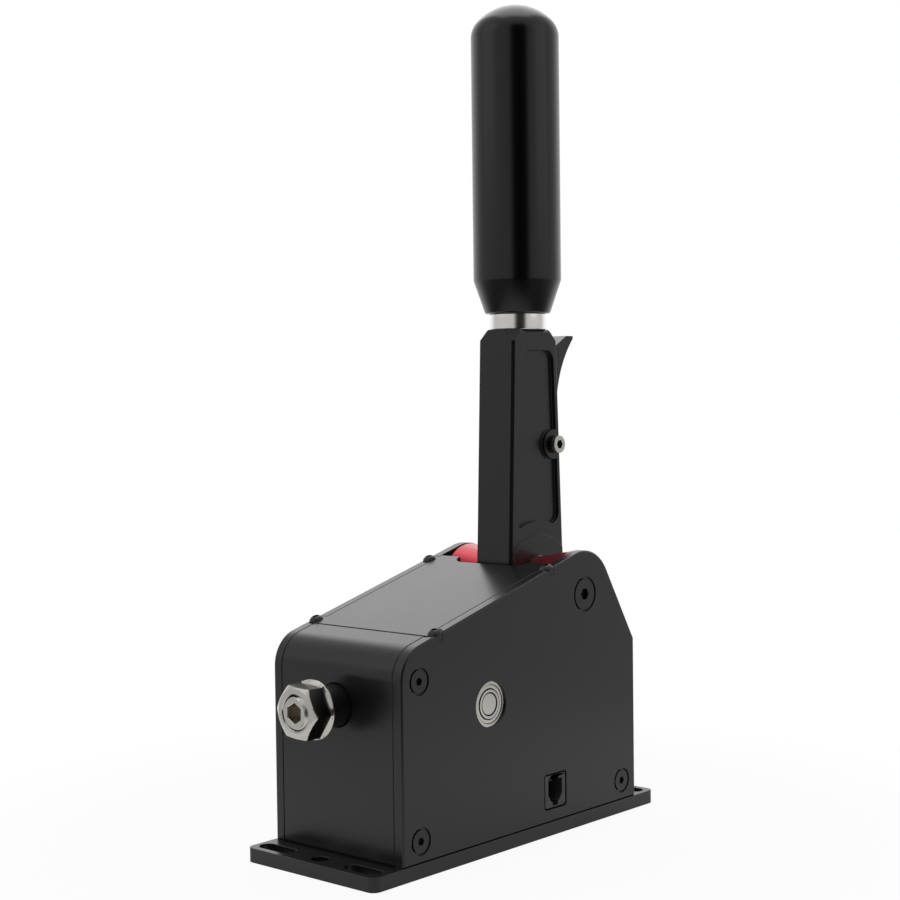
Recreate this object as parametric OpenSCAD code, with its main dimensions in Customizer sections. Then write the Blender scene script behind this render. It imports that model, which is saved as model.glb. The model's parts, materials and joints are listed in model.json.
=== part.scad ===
// Pull lever for a racing simulator, in millimetres, +Z up.
// The origin is the centre of the base plate's underside. The lever is pulled towards -X.

/* [Base plate] */
// Width of the base plate and of the whole housing
base_w = 61; // [59:1:70]
// Thickness of the base plate
base_t = 5; // [4:0.5:7]
// Corner radius of the base plate
base_corner_r = 3; // [2:0.5:5]
// Length of the base plate in front of the housing
front_flange = 14; // [13:0.5:18]
// Length of the base plate behind the housing
rear_flange = 12.5; // [11.5:0.5:18]
// Width of a mounting slot
slot_w = 6; // [4.5:0.1:6.5]
// Length of a mounting slot from end to end
slot_l = 16; // [10:0.5:18]
// Distance from a slot's centre to the side edge of the plate
slot_side = 10; // [9.5:0.5:12]
// Distance from a slot's centre line to the end of the plate
slot_inset = 5.5; // [4.5:0.1:6.5]
// Diameter of the hole between two slots
centre_hole_d = 6; // [4:0.1:6.5]

/* [Side plates] */
// Thickness of a side plate
plate_t = 4; // [3.5:0.25:5]
// Chamfer round the outer face of a side plate
plate_edge = 0.6; // [0.3:0.1:0.8]
// Fillet at the upper front corner
front_corner_r = 12; // [8:0.5:16]
// Slope of the top edge
top_slope = 15.25; // [13:0.25:16]
// Radius of the crown round the lever's axis
crown_r = 16; // [14:0.5:17]
// How far below the lever's axis the rear edge turns into the rear slope
rear_drop = 19.6; // [16:0.2:25]
// Height of the side opening for the data jack, at its centre
jack_h = 16; // [15:0.5:18]
// Distance of the data jack from the housing's front
jack_from_front = 80.3; // [78:0.5:83]

/* [End blocks and covers] */
// Length of the front block along X
front_block_l = 16; // [15:0.5:18]
// Wall left in front of the front block's spring pocket
front_wall = 5.5; // [4.5:0.25:7]
// Diameter of the front block's spring pocket
pocket_d = 28; // [26:0.5:32]
// Length of the rear block along X
rear_block_l = 13.5; // [12:0.5:15]
// Height of the rear block
rear_block_h = 18; // [16:0.5:19]
// Thickness of the top cover
cover_t = 2.5; // [2:0.25:3.5]
// Distance from the cover's rear edge to the lever's axis
cover_to_pivot = 20; // [19:0.5:23]
// How far the cover's rear corners reach past that edge
cover_horn = 5; // [3:0.5:6]
// Width of the cover's notch for the lever
cover_notch_w = 24; // [22:1:28]
// Distance from the front block to a front cover screw
cover_screw_front = 2.8; // [2.8:0.1:6]
// Distance from the cover's rear edge back to a rear cover screw
cover_screw_rear = 0.1; // [0:0.1:3]
// Thickness of the rear cover
rear_cover_t = 3; // [2:0.25:4]
// Length of the rear cover along the rear slope
rear_cover_run = 15; // [10:0.5:17]
// Gap between a base screw and the ends of the corner screws
base_screw_gap = 2.4; // [1.5:0.1:3]

/* [Fasteners] */
// Head diameter of an M4 countersunk screw
m4_head_d = 7.9; // [7.5:0.1:8.6]
// Distance of a corner screw from the housing's end
side_screw_inset = 8.6; // [7.5:0.1:9]
// Height of the lower corner screws
side_screw_low = 12.3; // [11.5:0.1:14]
// How far below the front end of the top edge the upper corner screws lie
side_screw_drop = 9.5; // [8.5:0.1:11]
// Head diameter of an M6 countersunk screw
m6_head_d = 11.6; // [11.2:0.1:13]
// Head diameter of an M3 button screw
m3_head_d = 5.2; // [5:0.1:5.7]

/* [Lever] */
// Distance of the lever's axis from the housing's front
pivot_from_front = 99; // [96:0.5:110]
// Distance of the lever's axis from the housing's rear
pivot_from_rear = 30.5; // [29:0.5:36]
// Height of the lever's axis
pivot_h = 85.2; // [84:0.2:88]
// Diameter of the fixed axle
axle_d = 10; // [9:0.5:11]
// Thickness of the lever
lever_t = 17.2; // [16.2:0.2:18]
// Width of the lever at its top
lever_top_w = 25.8; // [25:0.2:27]
// Width of the lever at its axis
lever_low_w = 32.8; // [30:0.1:33]
// Height of the lever's top face
lever_top = 183; // [181:0.5:190]
// Chamfer along the lever's edges
lever_edge = 1; // [0.6:0.1:1.6]
// How far each upper corner of the lever is cut along its faces
lever_corner = 5; // [3:0.25:6]
// Outer radius of the lever's hub
hub_r = 17; // [16:0.5:18]
// Radius of the raised round pad beside the hub
pad_r = 21; // [19:0.5:23]
// Height of that pad above the lever's face
pad_rise = 0.5; // [0.3:0.1:0.8]
// Distance from the lever's axis to the pull rod's pin
pull_arm = 37.5; // [36:0.5:39]
// Distance from the lever's axis to the magnet at its lower tip
magnet_arm = 54.2; // [52:0.2:56]
// Depth of the shallow pocket in each face of the lever
face_pocket_depth = 1.5; // [0.8:0.1:1.8]
// Height of the upper end of that pocket
face_pocket_top = 175.2; // [172:0.2:177]
// Radius of the pocket's lower end round the lever's axis
face_pocket_low_r = 26; // [25:0.5:30]

/* [Trigger] */
// Distance of the trigger's pin behind the lever's middle line
trigger_pin_x = 10.3; // [10:0.1:11]
// Height of the trigger's pin
trigger_pin_h = 139.7; // [138:0.1:141]
// Width of the trigger
trigger_w = 10; // [8.5:0.25:10.5]
// Height of the trigger's tip
trigger_tip_h = 181; // [179:0.5:182]
// Distance of the trigger's tip behind its pin
trigger_reach = 17.2; // [16:0.1:17.5]
// Radius of the finger hollow
finger_r = 41; // [39:0.5:43]
// Outer radius of the trigger round its pin
trigger_eye_r = 4.6; // [4.2:0.1:5]
// Largest squeeze of the trigger, in degrees
trigger_squeeze = 6; // [4:0.5:6.5]

/* [Grip] */
// Radius of the grip
grip_r = 16.5; // [15:0.5:18]
// Height of the grip's top
grip_top = 304.2; // [280:0.2:320]
// Radius of the grip's lower end
grip_low_r = 12.2; // [11.5:0.1:14]
// Length of the grip's tapered lower end
grip_taper_l = 12.5; // [8:0.5:16]
// Radius of the grip's shoulder below the crown
grip_shoulder_r = 9; // [6:0.5:11]
// Height of the grip's top above the centre of that shoulder
grip_crown_h = 12.2; // [11.4:0.1:13]
// Radius of the collar below the grip
collar_r = 10.6; // [9.5:0.1:11.5]
// Height of the collar
collar_h = 6.1; // [4:0.1:8]
// Diameter of the stud that holds the grip
stud_d = 8; // [7:0.5:8]
// Length of the stud above and below the collar
stud_end = 10.5; // [9:0.5:11]

/* [Pull rod and spring] */
// Distance of the trunnion's axis from the housing's front
trunnion_from_front = 45; // [44:0.5:46]
// How far below the lever's axis the trunnion's axis lies
trunnion_drop = 32.8; // [31.2:0.2:34.2]
// Outer diameter of a trunnion bearing
side_bearing_od = 16; // [15:0.5:17]
// Bore of a trunnion bearing
side_bearing_id = 8; // [7:0.5:8]
// Width of a trunnion bearing
side_bearing_w = 5; // [4.5:0.25:5]
// How far a trunnion bearing lies below the outer face
side_bearing_sink = 0.8; // [0.5:0.1:1.5]
// Diameter of the pull rod
rod_d = 10; // [9:0.5:10]
// Diameter of the pin between pull rod and lever
link_pin_d = 8; // [6:0.5:8]
// Mean radius of the return spring
spring_r = 9.2; // [8.8:0.1:9.8]
// Wire diameter of the return spring
spring_wire = 2.4; // [1.8:0.1:2.6]
// Number of turns of the return spring
spring_turns = 4.25; // [3.5:0.25:4.5]

/* [Adjuster] */
// How far the adjuster's axis lies above the trunnion's axis
adjuster_rise = 3; // [2.2:0.1:3.8]
// Diameter of the adjuster screw
adjuster_d = 12; // [10:0.5:12]
// Outer radius of the threaded bush
adjuster_bush_r = 7.2; // [6.8:0.1:8]
// How far the threaded bush stands out of the front
adjuster_bush_out = 10.1; // [8:0.1:11]
// Size across the flats of the lock nut
lock_nut_af = 17; // [16.5:0.5:19]
// Length of the lock nut's hexagon
lock_nut_l = 7.6; // [6:0.1:11]
// Diameter of the lock nut's flange
lock_nut_flange_d = 20.2; // [20:0.1:24]
// Thickness of the lock nut's flange
lock_nut_flange_t = 1; // [0.8:0.1:2.5]
// Turn of the lock nut from flat on top, in degrees
lock_nut_turn = 4; // [0:1:30]
// How far the adjuster screw stands out of the lock nut
adjuster_out = 0.5; // [0.2:0.1:3.5]

/* [Electronics] */
// Length of the circuit board along X
board_l = 44; // [42:1:46]
// How far the circuit board reaches above the magnet
board_over = 8.5; // [8:0.5:11]
// Thickness of the circuit board
board_t = 1.6; // [1.2:0.1:2]
// Distance of the circuit board from the right side plate
board_gap = 9.4; // [9:0.1:9.8]
// Outer width and height of the data jack
jack_size = 11.8; // [11.6:0.1:12.2]

/* [Clearances] */
// Gap between parts that turn or slide in each other
running_gap = 0.05; // [0.03:0.01:0.1]
// Gap between fixed parts that drop into place
seat_gap = 0.1; // [0.05:0.05:0.2]
// Gap beside parts that swing past each other
side_gap = 0.4; // [0.3:0.05:0.6]
// Radial play in the eye of the pull rod's pin
link_play = 0.4; // [0.4:0.05:0.5]

/* [Hidden] */
$fn = 64;
overcut = 1;

// Finishes
black_anodised = [0.09, 0.09, 0.1];
black_satin = [0.05, 0.05, 0.055];
bright_steel = [0.78, 0.77, 0.74];
red_anodised = [0.75, 0.1, 0.13];
spring_steel = [0.55, 0.56, 0.58];
bronze = [0.66, 0.49, 0.26];
board_green = [0.05, 0.3, 0.16];
gold = [0.83, 0.65, 0.25];

// Places in the side view
half_w = base_w / 2;
slot_pitch = base_w - 2 * slot_side;
base_l = front_flange + pivot_from_front + pivot_from_rear + rear_flange;
inner_w = half_w - plate_t;
front_x = front_flange - base_l / 2;
rear_x = base_l / 2 - rear_flange;
rear_top = pivot_h - rear_drop;
pivot_x = front_x + pivot_from_front;
slope_top = pivot_h + crown_r / cos(top_slope) - tan(top_slope) * pivot_from_front;
side_screw_high = slope_top - side_screw_drop;
cover_rear = pivot_from_front - cover_to_pivot;
front_block_x = front_x + front_block_l;
rear_reach = [rear_x - pivot_x, rear_top - pivot_h];
rear_turn = atan2(rear_reach[1], rear_reach[0]) + acos(crown_r / norm(rear_reach));
rear_rise = [-sin(rear_turn), cos(rear_turn)];
rear_in = [-cos(rear_turn), -sin(rear_turn)];
rear_block_x = rear_x - rear_cover_t - rear_block_l;
rear_screw_x = rear_x - side_screw_inset;
cover_slope_start = front_block_l / cos(top_slope) + seat_gap;
cover_slope_end = cover_rear / cos(top_slope);
corner_screws = [[front_x + side_screw_inset, side_screw_low],
    [front_x + side_screw_inset, side_screw_high], [rear_screw_x, side_screw_low]];
base_screw_x = [front_x + front_block_l / 2, rear_x - rear_cover_t - rear_block_l / 2];

// Screw sizes
m4_d = 4;
m4_l = 14;
m4_socket_af = 2.5;
m6_d = 6;
m6_l = 16;
m6_socket_af = 4;
m3_d = 2.5;
m3_head_h = 1.6;
m3_l = 8;
m3_socket_af = 2;
head_sink = 0.1;
head_rim_gap = 0.75;
head_rim_depth = 0.8;
countersunk_socket_share = 0.8;
button_socket_share = 0.6;
rear_screw_drop = 3;
inner_screw_y = half_w - head_sink - m4_l - base_screw_gap - m4_d / 2;
rear_screw_h = base_t + rear_block_h - rear_screw_drop;

// Cover ears
ear_r = 3.6;
ear_reach = 0.5;
ear_y = inner_w + ear_reach;
ear_screw_inset = 0.2;
ear_screw_y = half_w - plate_t / 2 - ear_screw_inset;
ear_stations = [cover_slope_start + cover_screw_front, cover_slope_end - cover_screw_rear];

// Lever
lever_half = lever_t / 2;
hub_face = lever_half + pad_rise;
lever_taper = (lever_low_w - lever_top_w) / 2 / (lever_top - pivot_h);
link_h = pivot_h - pull_arm;
magnet_h = pivot_h - magnet_arm;
link_eye_r = 8;
tip_r = 6;
hub_turn = asin((hub_r - link_eye_r) / pull_arm);
tip_turn = asin((link_eye_r - tip_r) / (magnet_arm - pull_arm));
pad_inset = 0.4;
lever_bearing_w = 8;
lever_bearing_rib = 2 * (hub_face - lever_bearing_w);
lever_bearing_od = 26;
lever_bearing_shoulder = 1.5;
lever_ball_r = 2.38;
lever_pitch_r = (axle_d + lever_bearing_od) / 4;
bearing_lip = 0.75;
face_pocket_front_rim = 4.6;
face_pocket_rear_rim = 2.6;
face_pocket_corner_r = 4;
trigger_pad_r = 5.6;
magnet_d = 5;
magnet_t = 2;

// Trigger, its slot, spring and switch
trigger_x = pivot_x + trigger_pin_x;
trigger_side_gap = 0.2;
slot_half = trigger_w / 2 + trigger_side_gap;
slot_floor = 5;
slot_floor_x = pivot_x + slot_floor;
slot_low = trigger_pin_h - trigger_eye_r - side_gap;
slot_top_drop = 2;
slot_high = trigger_tip_h - slot_top_drop;
eye_rise = 0.2;
trigger_back_x = trigger_x + trigger_eye_r - eye_rise;
hollow_reach = 6.85;
hollow_x = trigger_x + hollow_reach;
hollow_rise = 12.6;
hollow_z = trigger_pin_h + hollow_rise;
hollow_bite = 0.3;
trigger_tip_x = trigger_x + trigger_reach;
trigger_tip_t = 4;
trigger_shoulder = [trigger_x, trigger_pin_h] + [2.4, 35.3];
heel_gap = 1.1;
heel_drop = 1;
squeezed_gap = 0.7;
trigger_heel = [slot_floor_x + heel_gap, trigger_pin_h - heel_drop];
trigger_lean = [slot_floor_x + squeezed_gap
    + tan(trigger_squeeze) * (trigger_shoulder[1] - trigger_pin_h), trigger_shoulder[1]];
trigger_screw_d = 4;
trigger_screw_end = 1;
trigger_bush_r = 3;
trigger_head_d = 6.6;
trigger_head_h = 1.4;
trigger_socket_af = 3;
trigger_socket_floor = 0.2;
trigger_washer_r = 3.3;
trigger_washer_t = 1.5;
switch_size = [6.3, 5.8, 12.8];
switch_rise = 17;
switch_h = trigger_pin_h + switch_rise;
switch_plunger_r = 0.8;
switch_plunger_root = 1;
switch_plunger_out = 0.8;
trigger_spring_rise = 27.2;
trigger_spring_h = trigger_pin_h + trigger_spring_rise;
trigger_spring_bore_d = 5;
trigger_spring_depth = 4.5;
trigger_spring_cup = 2;
trigger_spring_turns = 5;
trigger_spring_wire = 0.6;
trigger_spring_r = 1.9;

// Grip
collar_top = lever_top + collar_h;
grip_shoulder_z = grip_top - grip_crown_h;
grip_shoulder_x = grip_r - grip_shoulder_r;
grip_crown_r = (pow(grip_crown_h, 2) + pow(grip_shoulder_x, 2) - pow(grip_shoulder_r, 2))
    / (2 * (grip_crown_h - grip_shoulder_r));
grip_crown_z = grip_top - grip_crown_r;
grip_crown_turn = atan2(grip_shoulder_z - grip_crown_z, grip_shoulder_x);

// Pull rod, measured along its own axis from the trunnion's axis
trunnion_x = front_x + trunnion_from_front;
trunnion_h = pivot_h - trunnion_drop;
rod_tilt = atan2(trunnion_h - link_h, pivot_x - trunnion_x);
link_u = norm([pivot_x - trunnion_x, trunnion_h - link_h]);
rod_r = rod_d / 2;
trunnion_half = 8;
trunnion_half_w = 13;
trunnion_half_h = 11;
trunnion_bush_wall = 2;
trunnion_bush_r = rod_r + trunnion_bush_wall;
pin_shoulder = 1.5;
pin_shoulder_r = side_bearing_id / 2 + pin_shoulder;
pin_end_sink = 0.2;
pin_depth = 4.5;
boss_wall = 3;
boss_r = side_bearing_od / 2 + boss_wall;
bearing_out = half_w - side_bearing_sink;
bearing_in = bearing_out - side_bearing_w;
boss_lip = 0.7;
boss_in = bearing_in - boss_lip;
side_ball_r = 1;
side_pitch_r = (side_bearing_od + side_bearing_id) / 4;
pocket_floor_x = front_x + front_wall;
bush_flange_t = 1.5;
bush_flange_r = 9;
screw_end_out = 0.8;
screw_end_x = pocket_floor_x + bush_flange_t + screw_end_out;
nose_gap = 0.3;
nose_u = (screw_end_x + nose_gap - trunnion_x) / cos(rod_tilt);
nose_l = 2;
nut_af = 16;
seat_nut_t = 4;
spring_seat_t = 3;
spring_seat_rim = 1;
spring_seat_r = spring_r + spring_wire / 2 + spring_seat_rim;
seat_nut_u = nose_u + nose_l;
spring_seat_u = seat_nut_u + seat_nut_t;
spring_u = spring_seat_u + spring_seat_t;
clevis_yoke_depth = 13.3;
clevis_yoke_u = link_u - clevis_yoke_depth;
rod_end_back = 1;
clevis_body_l = 12;
clevis_u = clevis_yoke_u - clevis_body_l;
clevis_nut_t = 4;
ear_in = lever_half + side_gap;
ear_t = 4;
clip_t = 0.8;
clip_rim = 2;
clip_r = link_pin_d / 2 + clip_rim;
groove_depth = 0.8;
pin_end = 0.6;
pin_half = ear_in + ear_t + clip_t + pin_end;

// Adjuster
adjuster_h = trunnion_h + adjuster_rise;
nut_x = front_x - adjuster_bush_out;
nut_face_x = nut_x - lock_nut_flange_t - lock_nut_l;
screw_front_x = nut_face_x - adjuster_out;

// Electronics
jack_x = front_x + jack_from_front;
board_y = -inner_w + board_gap;
board_rise = 3;
board_low = base_t + board_rise;
board_h = magnet_h + board_over - board_low;
board_rear_gap = 2;
board_x = rear_block_x - board_rear_gap - board_l;
board_inset = 3.2;
board_holes = [for (i = [0, 1], j = [0, 1])
    [board_x + board_inset + i * (board_l - 2 * board_inset),
    board_low + board_inset + j * (board_h - 2 * board_inset)]];
board_hole_r = 1.6;
board_spacer_r = 2.8;
board_screw_l = 4;
jack_sink = 0.1;
jack_gap = 0.55;
jack_corner_r = 0.8;
jack_front_y = -half_w + jack_sink;
jack_depth = 10;
plug_w = 7.9;
plug_h = 5.3;
plug_top = 4;
plug_taper = 2.6;
plug_low_w = 4.4;
latch_w = 3;
latch_h = 1.5;
contact_w = 3.9;
contact_h = 1.6;
contact_count = 4;
contact_pitch = 1.02;
contact_back = 2;
hall_turn = 7;
hall_x = pivot_x + magnet_arm * sin(hall_turn);
hall_size = [4, 1.5, 3];

// Points on a circle round c from angle a to angle b
function arc(c, r, a, b, n = 16) =
    [for (i = [0:n]) c + r * [cos(a + (b - a) * i / n), sin(a + (b - a) * i / n)]];

// Height of the sloping top edge at a distance from the housing's front
function top_at(run) = slope_top + tan(top_slope) * run;

// Half width of the lever at a height
function lever_half_w(z) = lever_top_w / 2 + lever_taper * (lever_top - z);

// Side view of the housing
function housing_outline() = concat(
    [[front_x, base_t]],
    arc([front_x + front_corner_r, top_at(front_corner_r) - front_corner_r / cos(top_slope)],
        front_corner_r, 180, 90 + top_slope),
    arc([pivot_x, pivot_h], crown_r, 90 + top_slope, rear_turn),
    [[rear_x, rear_top], [rear_x, base_t]]);

// Middle line of a coil along X that starts at x0
function coil_line(x0, length, r, turns, steps) =
    [for (i = [0:turns * steps]) [x0 + length * i / (turns * steps),
        r * cos(360 * i / steps), r * sin(360 * i / steps)]];

// Least gap between neighbouring turns of a coil, measured on its points
function coil_gap(line, steps, wire) =
    min([for (i = [0:len(line) - 1 - steps]) norm(line[i + steps] - line[i])]) - wire;

// Where the trigger's front face lies at a height
function trigger_front_at(z) = trigger_heel[0]
    + (trigger_lean[0] - trigger_heel[0]) * (z - trigger_heel[1]) / (trigger_lean[1] - trigger_heel[1]);

// Extrudes a side view (x, z) from y0 to y1
module across(y0, y1) {
    translate([0, y1, 0]) rotate([90, 0, 0]) linear_extrude(y1 - y0) children();
}

// Round bar along Y
module bar_y(x, z, r, y0, y1) {
    translate([x, y0, z]) rotate([-90, 0, 0]) cylinder(r = r, h = y1 - y0);
}

// Round bar along X
module bar_x(z, r, x0, x1) {
    translate([x0, 0, z]) rotate([0, 90, 0]) cylinder(r = r, h = x1 - x0);
}

// Puts a part on the outer face of a side plate, its +Z outwards. Side -1 is the right plate
module on_side(side, x, z) {
    translate([x, side * half_w, z]) rotate([-90 * side, 0, 0]) children();
}

// Frame of the sloping top: X up the slope, Z out of it
module on_slope() {
    translate([front_x, 0, slope_top]) rotate([0, -top_slope, 0]) children();
}

// Frame of the pull rod: X along the rod towards the lever
module on_rod() {
    translate([trunnion_x, 0, trunnion_h]) rotate([0, rod_tilt, 0]) children();
}

// Countersunk screw with its head's face at z = 0
module countersunk(head_d, d, l, socket_af) {
    cone_h = (head_d - d) / 2;
    difference() {
        union() {
            translate([0, 0, -cone_h]) cylinder(r1 = d / 2, r2 = head_d / 2, h = cone_h);
            translate([0, 0, -l]) cylinder(d = d, h = l);
        }
        translate([0, 0, -cone_h * countersunk_socket_share])
            cylinder(d = socket_af / cos(30), h = cone_h, $fn = 6);
    }
}

// Hole for a countersunk screw, with a groove left round its head at the face
module countersunk_hole(head_d, d, l) {
    shank_r = d / 2 + running_gap;
    cone_h = (head_d - d) / 2 + head_sink + overcut;
    translate([0, 0, overcut - cone_h]) cylinder(r1 = shank_r, r2 = shank_r + cone_h, h = cone_h);
    translate([0, 0, -l]) cylinder(r = shank_r, h = l);
    translate([0, 0, -head_rim_depth])
        cylinder(r = head_d / 2 + head_rim_gap, h = head_rim_depth + overcut);
}

// Button head screw with the underside of its head at z = 0
module button_screw(head_d, d, l) {
    dome_r = (pow(head_d / 2, 2) + pow(m3_head_h, 2)) / (2 * m3_head_h);
    difference() {
        union() {
            intersection() {
                translate([0, 0, m3_head_h - dome_r]) sphere(r = dome_r);
                cylinder(d = head_d, h = m3_head_h + overcut);
            }
            translate([0, 0, -l]) cylinder(d = d, h = l + m3_head_h / 4);
        }
        translate([0, 0, m3_head_h * (1 - button_socket_share)])
            cylinder(d = m3_socket_af / cos(30), h = m3_head_h, $fn = 6);
    }
}

// Outer ring of a ball bearing, middle at z = 0
module outer_ring(od, w, pitch_r, ball_r) {
    rotate_extrude() difference() {
        translate([pitch_r + bearing_lip * ball_r, -w / 2])
            square([od / 2 - pitch_r - bearing_lip * ball_r, w]);
        translate([pitch_r, 0]) circle(r = ball_r + running_gap);
    }
}

// Inner ring of a ball bearing, middle at z = 0
module inner_ring(id, w, pitch_r, ball_r) {
    rotate_extrude() difference() {
        translate([id / 2, -w / 2]) square([pitch_r - bearing_lip * ball_r - id / 2, w]);
        translate([pitch_r, 0]) circle(r = ball_r + running_gap);
    }
}

// Balls of a bearing, middle at z = 0
module balls(count, pitch_r, ball_r) {
    for (i = [0:count - 1]) rotate([0, 0, 360 * i / count])
        translate([pitch_r, 0, 0]) sphere(r = ball_r);
}

// Puts a part in the middle of each trunnion bearing
module at_side_bearings() {
    for (side = [-1, 1])
        translate([trunnion_x, side * (bearing_in + bearing_out) / 2, trunnion_h])
            rotate([90, 0, 0]) children();
}

// Puts a part in the middle of each lever bearing
module at_lever_bearings() {
    for (side = [-1, 1])
        translate([pivot_x, side * (hub_face - lever_bearing_w / 2), pivot_h])
            rotate([90, 0, 0]) children();
}

// Round wire wound along X
module coil(line, wire, steps, sides) {
    rings = len(line);
    points = [for (i = [0:rings - 1], j = [0:sides - 1])
        let (turn = 360 * i / steps, a = 360 * j / sides, out = wire / 2 * cos(a))
        line[i] + [wire / 2 * sin(a), out * cos(turn), out * sin(turn)]];
    walls = [for (i = [0:rings - 2], j = [0:sides - 1])
        let (a = i * sides + j, b = i * sides + (j + 1) % sides)
        each [[a, a + sides, b], [b, a + sides, b + sides]]];
    last = (rings - 1) * sides;
    ends = [for (j = [1:sides - 2]) each [[0, j, j + 1], [last, last + j + 1, last + j]]];
    polyhedron(points, concat(walls, ends));
}

// Hexagon nut along X, flat on top
module hex_x(af, x0, x1, turn = 0) {
    translate([x0, 0, 0]) rotate([turn, 0, 0]) rotate([0, 90, 0])
        cylinder(d = af / cos(30), h = x1 - x0, $fn = 6);
}

// Ear of the top cover seen from above, grown by play
module ear_outline(play) {
    for (s = ear_stations, side = [-1, 1]) translate([s, side * ear_y])
        union() {
            circle(r = ear_r + play);
            translate([-ear_r - play, side > 0 ? -ear_r : 0]) square([2 * (ear_r + play), ear_r]);
        }
}

module base_plate() {
    color(black_anodised) difference() {
        linear_extrude(base_t) offset(r = base_corner_r)
            square([base_l - 2 * base_corner_r, base_w - 2 * base_corner_r], center = true);
        for (end = [-1, 1]) {
            slot_x = end * (base_l / 2 - slot_inset);
            for (side = [-1, 1]) translate([slot_x, side * slot_pitch / 2, -overcut]) {
                for (tip = [-1, 1]) translate([0, tip * (slot_l - slot_w) / 2, 0])
                    cylinder(d = slot_w, h = base_t + 2 * overcut);
                translate([-slot_w / 2, -(slot_l - slot_w) / 2, 0])
                    cube([slot_w, slot_l - slot_w, base_t + 2 * overcut]);
            }
            translate([slot_x, 0, -overcut]) cylinder(d = centre_hole_d, h = base_t + 2 * overcut);
        }
        for (x = base_screw_x, side = [-1, 1]) translate([x, side * inner_screw_y, 0])
            rotate([180, 0, 0]) countersunk_hole(m4_head_d, m4_d, base_t + overcut);
    }
}

// One side plate. Side -1 is the right one, with the opening for the data jack
module side_plate(side) {
    color(black_anodised) difference() {
        union() {
            mirror([0, side > 0 ? 1 : 0, 0]) hull() {
                across(-half_w + plate_edge, -inner_w) polygon(housing_outline());
                across(-half_w, -inner_w) offset(delta = -plate_edge) polygon(housing_outline());
            }
            on_side(side, trunnion_x, trunnion_h)
                translate([0, 0, boss_in - half_w]) cylinder(r = boss_r, h = half_w - boss_in - plate_t / 2);
        }
        on_side(side, trunnion_x, trunnion_h) {
            translate([0, 0, bearing_in - half_w])
                cylinder(d = side_bearing_od, h = half_w - bearing_in + overcut);
            translate([0, 0, boss_in - half_w - overcut])
                cylinder(r = pin_shoulder_r + side_gap, h = half_w);
        }
        on_side(side, pivot_x, pivot_h) countersunk_hole(m6_head_d, m6_d, plate_t + overcut);
        for (p = corner_screws) on_side(side, p[0], p[1])
            countersunk_hole(m4_head_d, m4_d, plate_t + overcut);
        on_slope() {
            translate([0, 0, -cover_t]) linear_extrude(cover_t + overcut) ear_outline(seat_gap);
            for (s = ear_stations) translate([s, side * ear_screw_y, -m3_l])
                cylinder(d = m3_d + 2 * running_gap, h = m3_l);
        }
        if (side < 0) translate([jack_x, 0, jack_h])
            across(-half_w - overcut, -inner_w + overcut) jack_outline(jack_gap);
    }
}

module right_side_plate() {
    side_plate(-1);
}

module left_side_plate() {
    side_plate(1);
}

module front_block() {
    color(black_anodised) difference() {
        across(-inner_w, inner_w) intersection() {
            polygon(housing_outline());
            translate([front_x, 0]) square([front_block_l, pivot_h + crown_r]);
        }
        bar_x(adjuster_h, pocket_d / 2, pocket_floor_x, front_block_x + overcut);
        bar_x(adjuster_h, adjuster_bush_r, front_x - overcut, pocket_floor_x + overcut);
        for (side = [-1, 1], p = corner_screws) on_side(side, p[0], p[1])
            translate([0, 0, -m4_l - head_sink]) cylinder(d = m4_d + 2 * running_gap, h = m4_l);
        for (side = [-1, 1]) translate([base_screw_x[0], side * inner_screw_y, 0])
            cylinder(d = m4_d + 2 * running_gap, h = m4_l + head_sink);
    }
}

module rear_block() {
    color(black_anodised) difference() {
        translate([rear_block_x, -inner_w, base_t]) cube([rear_block_l, 2 * inner_w, rear_block_h]);
        for (side = [-1, 1]) {
            on_side(side, rear_screw_x, side_screw_low)
                translate([0, 0, -m4_l - head_sink]) cylinder(d = m4_d + 2 * running_gap, h = m4_l);
            translate([base_screw_x[1], side * inner_screw_y, 0])
                cylinder(d = m4_d + 2 * running_gap, h = m4_l + head_sink);
            translate([0, side * inner_screw_y, 0])
                bar_x(rear_screw_h, m3_d / 2 + running_gap, rear_x - m3_l, rear_x);
        }
    }
}

module top_cover() {
    notch_r = cover_horn;
    color(black_anodised) difference() {
        on_slope() translate([0, 0, -cover_t]) linear_extrude(cover_t) difference() {
            union() {
                translate([cover_slope_start, -inner_w + seat_gap])
                    square([cover_slope_end + cover_horn - cover_slope_start, 2 * (inner_w - seat_gap)]);
                intersection() {
                    ear_outline(0);
                    translate([cover_slope_start, -half_w])
                        square([cover_slope_end + cover_horn - cover_slope_start, base_w]);
                }
            }
            translate([cover_slope_end, -cover_notch_w / 2]) square([2 * cover_horn, cover_notch_w]);
            for (side = [-1, 1]) translate([cover_slope_end + notch_r, side * cover_notch_w / 2])
                circle(r = notch_r);
        }
        on_slope() for (s = ear_stations, side = [-1, 1]) translate([s, side * ear_screw_y, -m3_l])
            cylinder(d = m3_d + 2 * running_gap, h = m3_l + overcut);
    }
}

module rear_cover() {
    corner = [rear_x, rear_top];
    end = corner + rear_cover_run * rear_rise;
    inner_end = end + rear_cover_t * rear_in;
    inner_run = (rear_x - rear_cover_t - inner_end[0]) / rear_rise[0];
    color(black_anodised) difference() {
        across(-inner_w + seat_gap, inner_w - seat_gap) polygon([
            [rear_x, base_t], corner, end, inner_end, inner_end + inner_run * rear_rise,
            [rear_x - rear_cover_t, base_t]]);
        for (side = [-1, 1]) translate([0, side * inner_screw_y, 0])
            bar_x(rear_screw_h, m3_d / 2 + running_gap, rear_x - m3_l, rear_x + overcut);
    }
}

module cover_screws() {
    color(black_satin) on_slope() for (s = ear_stations, side = [-1, 1])
        translate([s, side * ear_screw_y, 0]) button_screw(m3_head_d, m3_d, m3_l - seat_gap);
}

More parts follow.
